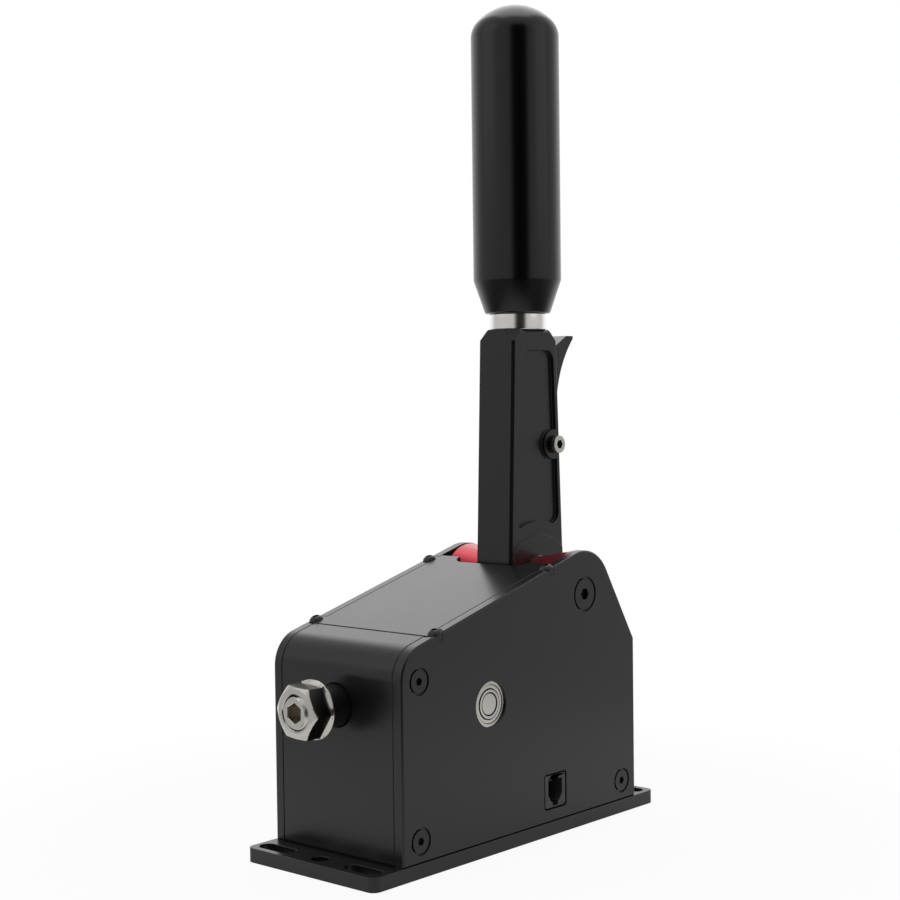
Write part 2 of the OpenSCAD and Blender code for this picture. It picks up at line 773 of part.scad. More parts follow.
module rear_cover_screws() {
    color(black_satin) for (side = [-1, 1])
        translate([rear_x, side * inner_screw_y, rear_screw_h])
            rotate([0, 90, 0]) button_screw(m3_head_d, m3_d, m3_l - seat_gap);
}

module side_plate_screws() {
    color(black_satin) for (side = [-1, 1], p = corner_screws) on_side(side, p[0], p[1])
        translate([0, 0, -head_sink]) countersunk(m4_head_d, m4_d, m4_l - seat_gap, m4_socket_af);
}

module base_screws() {
    color(black_satin) for (x = base_screw_x, side = [-1, 1])
        translate([x, side * inner_screw_y, head_sink]) rotate([180, 0, 0])
            countersunk(m4_head_d, m4_d, m4_l - seat_gap, m4_socket_af);
}

module pivot_axle() {
    color(bright_steel) difference() {
        bar_y(pivot_x, pivot_h, axle_d / 2, -inner_w, inner_w);
        for (side = [-1, 1]) on_side(side, pivot_x, pivot_h)
            translate([0, 0, -m6_l - head_sink]) cylinder(d = m6_d + 2 * running_gap, h = m6_l);
    }
}

module pivot_screws() {
    color(black_satin) for (side = [-1, 1]) on_side(side, pivot_x, pivot_h)
        translate([0, 0, -head_sink]) countersunk(m6_head_d, m6_d, m6_l - seat_gap, m6_socket_af);
}

// Conical spacer between the lever's bearing and a side plate
module pivot_spacer(side) {
    edge_inset = 0.2;
    small_r = lever_bearing_od / 2 - edge_inset;
    large_r = crown_r - edge_inset;
    chamfer = 0.8;
    face_step = 0.5;
    seat_r = lever_pitch_r - bearing_lip * lever_ball_r;
    face = hub_face + face_step;
    color(red_anodised) on_side(side, pivot_x, pivot_h) translate([0, 0, -half_w]) rotate_extrude()
        polygon([[axle_d / 2 + running_gap, hub_face], [seat_r, hub_face], [seat_r, face],
            [small_r, face], [large_r, inner_w - chamfer], [large_r - chamfer, inner_w],
            [axle_d / 2 + running_gap, inner_w]]);
}

module right_pivot_spacer() {
    pivot_spacer(-1);
}

module left_pivot_spacer() {
    pivot_spacer(1);
}

module lever_bearing_inner_rings() {
    color(bright_steel) at_lever_bearings()
        inner_ring(axle_d + 2 * running_gap, lever_bearing_w, lever_pitch_r, lever_ball_r);
}

module lever_bearing_balls() {
    color(bright_steel) at_lever_bearings() balls(7, lever_pitch_r, lever_ball_r);
}

module lever_bearing_outer_rings() {
    color(bright_steel) at_lever_bearings()
        outer_ring(lever_bearing_od, lever_bearing_w, lever_pitch_r, lever_ball_r);
}

module side_bearing_outer_rings() {
    color(bright_steel) at_side_bearings()
        outer_ring(side_bearing_od, side_bearing_w, side_pitch_r, side_ball_r);
}

module side_bearing_inner_rings() {
    color(bright_steel) at_side_bearings()
        inner_ring(side_bearing_id, side_bearing_w, side_pitch_r, side_ball_r);
}

module side_bearing_balls() {
    color(bright_steel) at_side_bearings() balls(9, side_pitch_r, side_ball_r);
}

// Thin discs that close both faces of each trunnion bearing
module side_bearing_shields() {
    shield_t = 0.3;
    shield_sink = 0.4;
    shield_gap = 0.15;
    outer_r = side_pitch_r + bearing_lip * side_ball_r;
    inner_r = side_pitch_r - bearing_lip * side_ball_r + shield_gap;
    color(bright_steel) at_side_bearings() for (face = [-1, 1])
        translate([0, 0, face * (side_bearing_w / 2 - shield_sink)]) difference() {
            cylinder(r = outer_r, h = shield_t, center = true);
            cylinder(r = inner_r, h = 2 * shield_t, center = true);
        }
}

module adjuster_bush() {
    color(black_satin) difference() {
        union() {
            bar_x(adjuster_h, adjuster_bush_r, nut_x, pocket_floor_x);
            bar_x(adjuster_h, bush_flange_r, pocket_floor_x, pocket_floor_x + bush_flange_t);
        }
        bar_x(adjuster_h, adjuster_d / 2, nut_x - overcut, pocket_floor_x + bush_flange_t + overcut);
    }
}

module lock_nut() {
    corner_r = lock_nut_af / 2 / cos(30);
    chamfer = corner_r - lock_nut_af / 2;
    color(bright_steel) translate([0, 0, adjuster_h]) difference() {
        union() {
            intersection() {
                hex_x(lock_nut_af, nut_face_x, nut_x, lock_nut_turn);
                translate([nut_face_x, 0, 0]) rotate([0, 90, 0]) union() {
                    cylinder(r1 = lock_nut_af / 2, r2 = corner_r + chamfer, h = 2 * chamfer);
                    translate([0, 0, 2 * chamfer]) cylinder(r = corner_r + chamfer, h = nut_x - nut_face_x);
                }
            }
            translate([nut_x - lock_nut_flange_t, 0, 0]) rotate([0, 90, 0])
                cylinder(d = lock_nut_flange_d, h = lock_nut_flange_t);
        }
        bar_x(0, adjuster_d / 2, nut_face_x - overcut, nut_x + overcut);
    }
}

module adjuster_screw() {
    socket_af = 6;
    socket_depth = 6;
    chamfer = 0.8;
    thread_r = adjuster_d / 2 - running_gap;
    color(bright_steel) translate([screw_front_x, 0, adjuster_h]) rotate([0, 90, 0]) difference() {
        union() {
            cylinder(r1 = thread_r - chamfer, r2 = thread_r, h = chamfer);
            translate([0, 0, chamfer]) cylinder(r = thread_r, h = screw_end_x - screw_front_x - chamfer);
        }
        translate([0, 0, -overcut])
            cylinder(d = socket_af / cos(30), h = socket_depth + overcut, $fn = 6);
    }
}

module trunnion_block() {
    color(black_anodised) on_rod() difference() {
        cube([2 * trunnion_half, 2 * trunnion_half_w, 2 * trunnion_half_h], center = true);
        bar_x(0, trunnion_bush_r, -trunnion_half - overcut, trunnion_half + overcut);
        for (side = [-1, 1]) scale([1, side, 1])
            bar_y(0, 0, side_bearing_id / 2, trunnion_half_w - pin_depth, trunnion_half_w + overcut);
    }
}

module trunnion_pins() {
    color(bright_steel) for (side = [-1, 1]) on_side(side, trunnion_x, trunnion_h)
        translate([0, 0, -half_w]) union() {
            translate([0, 0, trunnion_half_w - pin_depth])
                cylinder(d = side_bearing_id, h = bearing_out - pin_end_sink - trunnion_half_w + pin_depth);
            translate([0, 0, trunnion_half_w])
                cylinder(r = pin_shoulder_r, h = bearing_in - trunnion_half_w);
        }
}

module trunnion_bush() {
    color(bronze) on_rod() difference() {
        bar_x(0, trunnion_bush_r, -trunnion_half, trunnion_half);
        bar_x(0, rod_r + running_gap, -trunnion_half - overcut, trunnion_half + overcut);
    }
}

module pull_rod() {
    color(bright_steel) on_rod() union() {
        translate([nose_u, 0, 0]) rotate([0, 90, 0]) cylinder(r1 = rod_r / 2, r2 = rod_r, h = nose_l);
        bar_x(0, rod_r, nose_u + nose_l, clevis_yoke_u - rod_end_back);
    }
}

module rod_clevis() {
    height = 2 * link_eye_r;
    color(black_anodised) on_rod() difference() {
        union() {
            translate([clevis_u, -ear_in - ear_t, -link_eye_r])
                cube([link_u - clevis_u, 2 * (ear_in + ear_t), height]);
            bar_y(link_u, 0, link_eye_r, -ear_in - ear_t, ear_in + ear_t);
        }
        translate([clevis_yoke_u, -ear_in, -height]) cube([link_u, 2 * ear_in, 2 * height]);
        bar_x(0, rod_r, clevis_u - overcut, clevis_yoke_u + overcut);
        bar_y(link_u, 0, link_pin_d / 2 + link_play, -half_w, half_w);
    }
}

module clevis_nut() {
    color(bright_steel) on_rod() difference() {
        hex_x(nut_af, clevis_u - clevis_nut_t, clevis_u);
        bar_x(0, rod_r, clevis_u - clevis_nut_t - overcut, clevis_u + overcut);
    }
}

module spring_seat() {
    color(black_anodised) on_rod() difference() {
        bar_x(0, spring_seat_r, spring_seat_u, spring_u);
        bar_x(0, rod_r, spring_seat_u - overcut, spring_u + overcut);
    }
}

module seat_nut() {
    color(bright_steel) on_rod() difference() {
        hex_x(nut_af, seat_nut_u, spring_seat_u);
        bar_x(0, rod_r, seat_nut_u - overcut, spring_seat_u + overcut);
    }
}

module return_spring() {
    steps = 16;
    line = coil_line(spring_u + spring_wire / 2 + seat_gap,
        -trunnion_half - spring_u - spring_wire - 2 * seat_gap, spring_r, spring_turns, steps);
    echo(return_spring_gap = coil_gap(line, steps, spring_wire));
    color(spring_steel) on_rod() coil(line, spring_wire, steps, 8);
}

// Side view of the lever's blade above its axis
module blade_outline() {
    polygon([[pivot_x - lever_low_w / 2, pivot_h], [pivot_x - lever_top_w / 2, lever_top],
        [pivot_x + lever_top_w / 2, lever_top], [pivot_x + lever_low_w / 2, pivot_h]]);
}

// Side view of the lever's hub and lower arm
module lower_arm_outline() {
    hub = [pivot_x, pivot_h];
    eye = [pivot_x, link_h];
    tip = [pivot_x, magnet_h];
    polygon(concat(
        arc(hub, hub_r, hub_turn, 180 - hub_turn, 32),
        arc(eye, link_eye_r, 180 - hub_turn, 180 - tip_turn, 2),
        arc(tip, tip_r, 180 - tip_turn, 360 + tip_turn, 20),
        arc(eye, link_eye_r, 360 + tip_turn, 360 + hub_turn, 2)));
}

// Shallow pocket in the lever's faces, with a boss left round the trigger's pin.
// A fillet joins its rear wall to its lower end, which runs round the hub
module face_pocket_outline() {
    top = face_pocket_top;
    low_r = face_pocket_low_r;
    r = face_pocket_corner_r;
    hub = [pivot_x, pivot_h];
    front_top = pivot_x - lever_half_w(top) + face_pocket_front_rim;
    rear_top = pivot_x + lever_half_w(top) - face_pocket_rear_rim;
    front_low = lever_half_w(pivot_h + low_r) - face_pocket_front_rim;
    fillet_x = lever_half_w(pivot_h + low_r) - face_pocket_rear_rim - r;
    fillet_turn = acos(fillet_x / (low_r + r));
    fillet = hub + (low_r + r) * [cos(fillet_turn), sin(fillet_turn)];
    arc_start = 2;
    difference() {
        polygon(concat(
            arc([front_top + r, top - r], r, 180, 90, 6),
            arc([rear_top - r, top - r], r, 90, 0, 6),
            arc(fillet, r, 0, fillet_turn - 180, 6),
            arc(hub, low_r, fillet_turn + arc_start, 180 - acos(front_low / low_r), 12)));
        translate([trigger_x, trigger_pin_h]) circle(r = trigger_pad_r);
    }
}

// Wedge that cuts one upper corner of the lever
module corner_wedge() {
    reach = lever_corner;
    polyhedron([[0, 0, -reach], [-reach, 0, 0], [0, -reach, 0], [overcut, overcut, -reach],
        [-reach, overcut, overcut], [overcut, -reach, overcut], [overcut, overcut, overcut]],
        [[0, 2, 1], [0, 1, 4], [0, 4, 3], [3, 4, 6], [0, 3, 2], [2, 3, 5], [3, 6, 5],
        [1, 2, 5], [1, 5, 4], [4, 5, 6]]);
}

module lever() {
    bearing_r = lever_bearing_od / 2;
    color(black_anodised) difference() {
        union() {
            hull() {
                across(-lever_half + lever_edge, lever_half - lever_edge) blade_outline();
                across(-lever_half, lever_half) offset(delta = -lever_edge) blade_outline();
            }
            across(-lever_half, lever_half) lower_arm_outline();
            intersection() {
                bar_y(pivot_x, pivot_h, pad_r, -hub_face, hub_face);
                across(-half_w, half_w) union() {
                    offset(delta = -lever_edge - pad_inset) blade_outline();
                    translate([pivot_x, pivot_h]) circle(r = hub_r - pad_inset);
                }
            }
        }
        for (side = [-1, 1]) scale([1, side, 1]) {
            bar_y(pivot_x, pivot_h, bearing_r, lever_bearing_rib / 2, half_w);
            across(lever_half - face_pocket_depth, half_w) face_pocket_outline();
        }
        bar_y(pivot_x, pivot_h, bearing_r - lever_bearing_shoulder, -half_w, half_w);
        for (sx = [-1, 1], sy = [-1, 1])
            translate([pivot_x + sx * lever_top_w / 2, sy * lever_half, lever_top])
                scale([sx, sy, 1]) corner_wedge();
        translate([slot_floor_x, -slot_half, slot_low])
            cube([lever_low_w, 2 * slot_half, slot_high - slot_low]);
        bar_y(trigger_x, trigger_pin_h, trigger_screw_d / 2 + running_gap, -half_w,
            lever_half - trigger_screw_end);
        translate([slot_floor_x - switch_size[0] - seat_gap, -switch_size[1] / 2 - seat_gap,
            switch_h - switch_size[2] / 2 - seat_gap])
            cube([switch_size[0] + overcut, switch_size[1] + 2 * seat_gap, switch_size[2] + 2 * seat_gap]);
        bar_x(trigger_spring_h, trigger_spring_bore_d / 2, slot_floor_x - trigger_spring_depth,
            slot_floor_x + overcut);
        translate([pivot_x, 0, lever_top - stud_end])
            cylinder(d = stud_d + 2 * running_gap, h = stud_end + overcut);
        bar_y(pivot_x, link_h, link_pin_d / 2 + running_gap, -half_w, half_w);
        bar_y(pivot_x, magnet_h, magnet_d / 2 + running_gap, -half_w, magnet_t - lever_half);
    }
}

module link_pin() {
    groove_y = ear_in + ear_t + running_gap;
    color(bright_steel) difference() {
        bar_y(pivot_x, link_h, link_pin_d / 2, -pin_half, pin_half);
        for (side = [-1, 1]) scale([1, side, 1]) difference() {
            bar_y(pivot_x, link_h, link_pin_d, groove_y, groove_y + clip_t);
            bar_y(pivot_x, link_h, link_pin_d / 2 - groove_depth, 0, half_w);
        }
    }
}

module link_pin_clips() {
    inner_r = link_pin_d / 2 - groove_depth + running_gap;
    color(spring_steel) for (side = [-1, 1]) scale([1, side, 1]) difference() {
        bar_y(pivot_x, link_h, clip_r, ear_in + ear_t + 2 * running_gap, ear_in + ear_t + clip_t);
        bar_y(pivot_x, link_h, inner_r, 0, half_w);
        translate([pivot_x - inner_r, 0, link_h - 2 * clip_r]) cube([2 * inner_r, half_w, 2 * clip_r]);
    }
}

module sensor_magnet() {
    color(bright_steel) bar_y(pivot_x, magnet_h, magnet_d / 2, -lever_half, magnet_t - lever_half);
}

module grip_stud() {
    color(bright_steel) translate([pivot_x, 0, lever_top - stud_end + seat_gap])
        cylinder(d = stud_d, h = 2 * stud_end + collar_h - 2 * seat_gap);
}

module grip_collar() {
    chamfer = 0.4;
    color(bright_steel) translate([pivot_x, 0, lever_top]) rotate_extrude() polygon([
        [stud_d / 2 + running_gap, 0], [collar_r - chamfer, 0], [collar_r, chamfer],
        [collar_r, collar_h - chamfer], [collar_r - chamfer, collar_h],
        [stud_d / 2 + running_gap, collar_h]]);
}

module grip() {
    edge = 0.8;
    color(black_satin) translate([pivot_x, 0, 0]) difference() {
        rotate_extrude() polygon(concat(
            [[0, collar_top], [grip_low_r - edge, collar_top], [grip_low_r, collar_top + edge]],
            [[grip_r - edge / 2, collar_top + grip_taper_l - 2 * edge],
            [grip_r, collar_top + grip_taper_l]],
            arc([grip_shoulder_x, grip_shoulder_z], grip_shoulder_r, 0, grip_crown_turn, 10),
            arc([0, grip_crown_z], grip_crown_r, grip_crown_turn, 90, 8)));
        translate([0, 0, collar_top - overcut])
            cylinder(d = stud_d + 2 * running_gap, h = stud_end + overcut);
    }
}

module trigger_screw() {
    head_y = lever_half + trigger_washer_t;
    color(bright_steel) on_side(-1, trigger_x, trigger_pin_h) translate([0, 0, -half_w]) difference() {
        union() {
            translate([0, 0, trigger_screw_end - lever_half + seat_gap])
                cylinder(d = trigger_screw_d, h = head_y + lever_half - trigger_screw_end);
            translate([0, 0, head_y]) cylinder(d = trigger_head_d, h = trigger_head_h);
        }
        translate([0, 0, head_y + trigger_socket_floor])
            cylinder(d = trigger_socket_af / cos(30), h = trigger_head_h, $fn = 6);
    }
}

module trigger_washer() {
    color(black_satin) on_side(-1, trigger_x, trigger_pin_h) translate([0, 0, lever_half - half_w])
        difference() {
            cylinder(r = trigger_washer_r, h = trigger_washer_t);
            translate([0, 0, -overcut])
                cylinder(d = trigger_screw_d + 2 * running_gap, h = trigger_washer_t + 2 * overcut);
        }
}

module trigger_bush() {
    color(bronze) difference() {
        bar_y(trigger_x, trigger_pin_h, trigger_bush_r, -slot_half, slot_half);
        bar_y(trigger_x, trigger_pin_h, trigger_screw_d / 2 + running_gap, -half_w, half_w);
    }
}

module trigger_switch() {
    color(black_satin) union() {
        translate([slot_floor_x - switch_size[0], -switch_size[1] / 2, switch_h - switch_size[2] / 2])
            cube(switch_size);
        bar_x(switch_h, switch_plunger_r, slot_floor_x - switch_plunger_root,
            slot_floor_x + switch_plunger_out);
    }
}

module trigger_spring() {
    steps = 8;
    x0 = slot_floor_x - trigger_spring_depth + trigger_spring_wire / 2 + seat_gap;
    x1 = trigger_front_at(trigger_spring_h) + trigger_spring_cup - trigger_spring_wire / 2 - seat_gap;
    line = coil_line(x0, x1 - x0, trigger_spring_r, trigger_spring_turns, steps);
    echo(trigger_spring_gap = coil_gap(line, steps, trigger_spring_wire));
    color(spring_steel) translate([0, 0, trigger_spring_h])
        coil(line, trigger_spring_wire, steps, 6);
}

module trigger() {
    half = trigger_w / 2;
    color(black_anodised) difference() {
        union() {
            across(-half, half) difference() {
                polygon([trigger_heel, trigger_lean, trigger_shoulder,
                    [trigger_tip_x - trigger_tip_t, trigger_tip_h], [trigger_tip_x, trigger_tip_h],
                    [trigger_tip_x, hollow_z], [hollow_x, hollow_z],
                    [trigger_back_x, trigger_heel[1]]]);
                translate([hollow_x + finger_r - hollow_bite, hollow_z])
                    circle(r = finger_r, $fn = 128);
            }
            bar_y(trigger_x, trigger_pin_h, trigger_eye_r, -half, half);
        }
        bar_y(trigger_x, trigger_pin_h, trigger_bush_r + running_gap, -half_w, half_w);
        bar_x(trigger_spring_h, trigger_spring_bore_d / 2, slot_floor_x,
            trigger_front_at(trigger_spring_h) + trigger_spring_cup);
    }
}

// Outline of the data jack seen from its front, grown by play
module jack_outline(play) {
    offset(r = jack_corner_r + play) square(jack_size - 2 * jack_corner_r, center = true);
}

// Opening for the plug: contacts at the top, latch at the bottom
module plug_outline() {
    plug_low = plug_top - plug_h;
    latch_top = plug_low - plug_taper;
    polygon([[-contact_w / 2, plug_top + contact_h], [-contact_w / 2, plug_top],
        [-plug_w / 2, plug_top], [-plug_w / 2, plug_low],
        [-plug_low_w / 2, latch_top], [-latch_w / 2, latch_top],
        [-latch_w / 2, latch_top - latch_h], [latch_w / 2, latch_top - latch_h],
        [latch_w / 2, latch_top], [plug_low_w / 2, latch_top],
        [plug_w / 2, plug_low], [plug_w / 2, plug_top],
        [contact_w / 2, plug_top], [contact_w / 2, plug_top + contact_h]]);
}

module data_jack() {
    color(black_satin) translate([jack_x, 0, jack_h]) difference() {
        across(jack_front_y, board_y - board_t) jack_outline(0);
        across(jack_front_y - overcut, jack_front_y + jack_depth) plug_outline();
    }
}

module jack_contacts() {
    wire = 0.45;
    color(gold) for (i = [0:contact_count - 1])
        translate([jack_x + (i - (contact_count - 1) / 2) * contact_pitch - wire / 2,
            jack_front_y + contact_back, jack_h + plug_top + contact_h - wire])
            cube([wire, jack_depth - contact_back, wire]);
}

module circuit_board() {
    color(board_green) difference() {
        translate([board_x, board_y - board_t, board_low]) cube([board_l, board_t, board_h]);
        for (p = board_holes) bar_y(p[0], p[1], board_hole_r, -half_w, 0);
    }
}

module board_spacers() {
    color(bright_steel) for (p = board_holes) difference() {
        bar_y(p[0], p[1], board_spacer_r, -inner_w, board_y - board_t);
        bar_y(p[0], p[1], m3_d / 2 + running_gap, board_y - board_t - board_screw_l - overcut, 0);
    }
}

module board_screws() {
    color(bright_steel) for (p = board_holes) translate([p[0], board_y, p[1]]) rotate([-90, 0, 0])
        button_screw(m3_head_d, m3_d, board_t + board_screw_l);
}

module hall_sensor() {
    color(black_satin) translate([hall_x - hall_size[0] / 2, board_y, magnet_h - hall_size[2] / 2])
        cube(hall_size);
}

base_plate();
right_side_plate();
left_side_plate();
front_block();
rear_block();
top_cover();
rear_cover();
cover_screws();
rear_cover_screws();
side_plate_screws();
base_screws();
pivot_axle();
pivot_screws();
right_pivot_spacer();
left_pivot_spacer();
lever_bearing_inner_rings();
lever_bearing_balls();
side_bearing_outer_rings();
side_bearing_shields();
adjuster_bush();
lock_nut();
data_jack();
jack_contacts();
circuit_board();
board_spacers();
board_screws();
hall_sensor();
adjuster_screw();
trunnion_block();
trunnion_pins();
trunnion_bush();
side_bearing_inner_rings();
side_bearing_balls();
pull_rod();
rod_clevis();
clevis_nut();
spring_seat();
seat_nut();
return_spring();
lever();
lever_bearing_outer_rings();
link_pin();
link_pin_clips();
sensor_magnet();
grip_stud();
grip_collar();
grip();
trigger_screw();
trigger_washer();
trigger_bush();
trigger_switch();
trigger_spring();
trigger();
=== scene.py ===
"""Looks of a simulator's pull lever: its finishes, rounded edges, turned pieces and studio."""

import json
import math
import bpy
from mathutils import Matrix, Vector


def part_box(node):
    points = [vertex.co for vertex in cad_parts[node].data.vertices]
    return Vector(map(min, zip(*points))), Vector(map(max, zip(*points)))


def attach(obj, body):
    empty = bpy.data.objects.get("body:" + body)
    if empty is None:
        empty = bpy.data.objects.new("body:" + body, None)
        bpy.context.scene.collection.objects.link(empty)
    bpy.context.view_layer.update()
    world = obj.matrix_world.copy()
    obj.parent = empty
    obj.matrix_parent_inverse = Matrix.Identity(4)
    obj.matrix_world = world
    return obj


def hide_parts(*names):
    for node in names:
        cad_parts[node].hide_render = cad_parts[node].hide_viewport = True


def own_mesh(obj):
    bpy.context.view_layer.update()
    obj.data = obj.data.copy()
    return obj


bl_info = {
    "name": "Pull lever",
    "version": (1, 0, 0),
    "blender": (4, 5, 0),
    "location": "3D View > Sidebar > Pull lever",
    "description": "Dresses the solids of a simulator's pull lever and puts them in a plain studio",
    "category": "Object",
}

import bmesh
import bpy
import numpy as np
from bpy.props import FloatProperty, FloatVectorProperty, IntProperty, PointerProperty
from mathutils import Matrix, Vector

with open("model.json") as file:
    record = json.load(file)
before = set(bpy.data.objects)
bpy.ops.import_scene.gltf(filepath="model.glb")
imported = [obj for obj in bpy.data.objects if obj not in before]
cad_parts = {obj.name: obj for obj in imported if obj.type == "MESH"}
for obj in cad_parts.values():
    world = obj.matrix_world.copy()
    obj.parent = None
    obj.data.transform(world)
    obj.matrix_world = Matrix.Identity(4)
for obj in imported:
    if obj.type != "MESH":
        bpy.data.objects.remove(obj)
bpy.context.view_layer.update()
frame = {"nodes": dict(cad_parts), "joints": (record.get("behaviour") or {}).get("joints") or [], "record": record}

MM = 0.001
RECORD = frame["record"]
BODY_OF = {node: body for body, nodes in RECORD["behaviour"]["bodies"].items() for node in nodes}
SLOT_OF = {part["node"]: part["material_slot"] for part in RECORD["subparts"]}
JOINTS = {joint["name"]: joint for joint in frame["joints"]}
FINISHES = {}

# Distances within which points are merged: on a surface made here, and on a copy of a CAD node.
GRID_MERGE = 1e-7
COPY_MERGE = 2e-6
# Bends of a surface: up to the first it counts as flat, past the second it gets rounded, and past
# the third it is shaded sharp.
FLAT_BEND = math.radians(0.4)
ROUNDED_BEND = math.radians(32)
SHARP_BEND = math.radians(35)

# Where each region of the studio's light starts and where it is full, as the part of a direction of
# length 1 that points away from the camera, up or down.
BEHIND = (0.3, 0.8)
OVERHEAD = (0.5, 0.85)
BELOW = (0.2, 0.5)
# The same for the long soft box: up, away from the camera, and to the side, where it ends.
BOX_HEIGHT = (0.22, 0.42)
BOX_FRONT = (-0.25, 0.0)
BOX_END = (0.28, 0.45)
# Half the angle over which each side of the dark gap fades.
GAP_SOFTNESS = math.radians(7)
# Soft lamps: name, turn from the camera and rise above the floor in degrees, distance and size in metres.
LAMPS = (
    ("left_lamp", -75, 30, 1.1, 0.7),
    ("right_lamp", 70, 25, 1.2, 0.7),
    ("top_lamp", 170, 70, 1.1, 0.9),
)


class StudioSettings(bpy.types.PropertyGroup):
    """Camera, floor and light of the studio."""

    target: FloatVectorProperty(
        name="Target", description="Point that the camera looks at", subtype="TRANSLATION",
        unit="LENGTH", default=(-0.00442, 0.0, 0.13913))
    distance: FloatProperty(
        name="Distance", description="Distance from the camera to its target", unit="LENGTH", default=0.6142)
    azimuth: FloatProperty(
        name="Azimuth", description="Turn of the camera round the object", subtype="ANGLE",
        default=math.radians(-48.448))
    elevation: FloatProperty(
        name="Elevation", description="Height of the camera above the horizon", subtype="ANGLE",
        default=math.radians(2.11))
    roll: FloatProperty(
        name="Roll", description="Turn of the camera about its own axis", subtype="ANGLE",
        default=math.radians(-0.709))
    lens: FloatProperty(name="Lens", description="Focal length in millimetres", default=68.09)
    floor_radius: FloatProperty(
        name="Floor radius", description="Radius of the round floor", unit="LENGTH", default=0.24)
    floor_shade: FloatProperty(name="Floor shade", description="Grey of the floor under light", default=0.6)
    floor_shown: FloatProperty(
        name="Floor shown", description="Share of white in the floor as the camera sees it", default=0.94)
    floor_mirrored: FloatProperty(
        name="Floor mirrored", description="Share of white in the floor as reflections see it", default=0.4)
    gap_middle: FloatProperty(
        name="Dark gap", description="Middle of the dark gap between the side panels, from the camera",
        subtype="ANGLE", default=math.radians(8))
    gap_half: FloatProperty(
        name="Dark gap half width", description="Half width of the dark gap", subtype="ANGLE",
        default=math.radians(22))
    gap_level: FloatProperty(name="Gap level", description="Brightness inside the dark gap", default=0.01)
    panel_level: FloatProperty(name="Panel level", description="Brightness of the side panels", default=0.55)
    long_box_level: FloatProperty(
        name="Long box level", description="Brightness of the long soft box above and behind the object",
        default=1.85)
    top_level: FloatProperty(name="Top level", description="Brightness overhead", default=0.65)
    under_level: FloatProperty(
        name="Under level", description="Share of the light that comes from below the floor", default=0.25)
    lamp_power: FloatProperty(name="Lamp power", description="Power of each soft lamp in watts", default=0.45)


class FinishSettings(bpy.types.PropertyGroup):
    """Colours of the finishes."""

    black: FloatVectorProperty(
        name="Black anodised", description="Colour of the milled black parts", subtype="COLOR",
        default=(0.0085, 0.0085, 0.009))
    # Lighter than the black parts along their edges: partly edge wear, partly a painted highlight.
    black_edge: FloatVectorProperty(
        name="Black edge", description="Colour of the black parts along their edges", subtype="COLOR",
        default=(0.014, 0.014, 0.015))
    # Darker than the black parts: painted shade along the housing's seams, on the rounded edges of the blocks and
    # covers.
    seam: FloatVectorProperty(
        name="Seam", description="Colour of the edges along the housing's seams", subtype="COLOR",
        default=(0.002, 0.002, 0.002))
    grip: FloatVectorProperty(
        name="Grip", description="Colour of the grip", subtype="COLOR", default=(0.0015, 0.0015, 0.0016))
    screw: FloatVectorProperty(
        name="Black screws", description="Colour of the blackened screws", subtype="COLOR",
        default=(0.006, 0.006, 0.006))
    steel: FloatVectorProperty(
        name="Bright steel", description="Colour of the bright steel parts", subtype="COLOR",
        default=(0.62, 0.60, 0.56))
    bearing: FloatVectorProperty(
        name="Bearing steel", description="Colour of the side bearings' rings and pins", subtype="COLOR",
        default=(0.62, 0.61, 0.56))
    # Painted shade on bright steel: the lock nut's flats, dark grooves along the side bearings' edges, and the
    # trigger screw's socket.
    dark_steel: FloatVectorProperty(
        name="Steel with painted shade",
        description="Colour of the lock nut's flats, the side bearings' edges and the trigger screw's socket",
        subtype="COLOR", default=(0.045, 0.045, 0.042))
    # Darker than bright steel: painted shade inside the adjuster screw's socket.
    socket: FloatVectorProperty(
        name="Socket", description="Colour inside the adjuster screw's socket", subtype="COLOR",
        default=(0.52, 0.48, 0.43))
    collar: FloatVectorProperty(
        name="Collar", description="Colour of the turned collar", subtype="COLOR",
        default=(0.90, 0.88, 0.85))
    red: FloatVectorProperty(
        name="Red anodised", description="Colour of the pivot spacers", subtype="COLOR",
        default=(0.44, 0.021, 0.038))
    bronze: FloatVectorProperty(
        name="Bronze", description="Colour of the plain bushes", subtype="COLOR", default=(0.50, 0.32, 0.12))
    plastic: FloatVectorProperty(
        name="Black plastic", description="Colour of the jack and the switches", subtype="COLOR",
        default=(0.035, 0.035, 0.035))
    gold: FloatVectorProperty(
        name="Contacts", description="Colour of the plated contacts", subtype="COLOR",
        default=(0.80, 0.56, 0.20))
    board: FloatVectorProperty(
        name="Board", description="Colour of the circuit board", subtype="COLOR", default=(0.012, 0.10, 0.05))


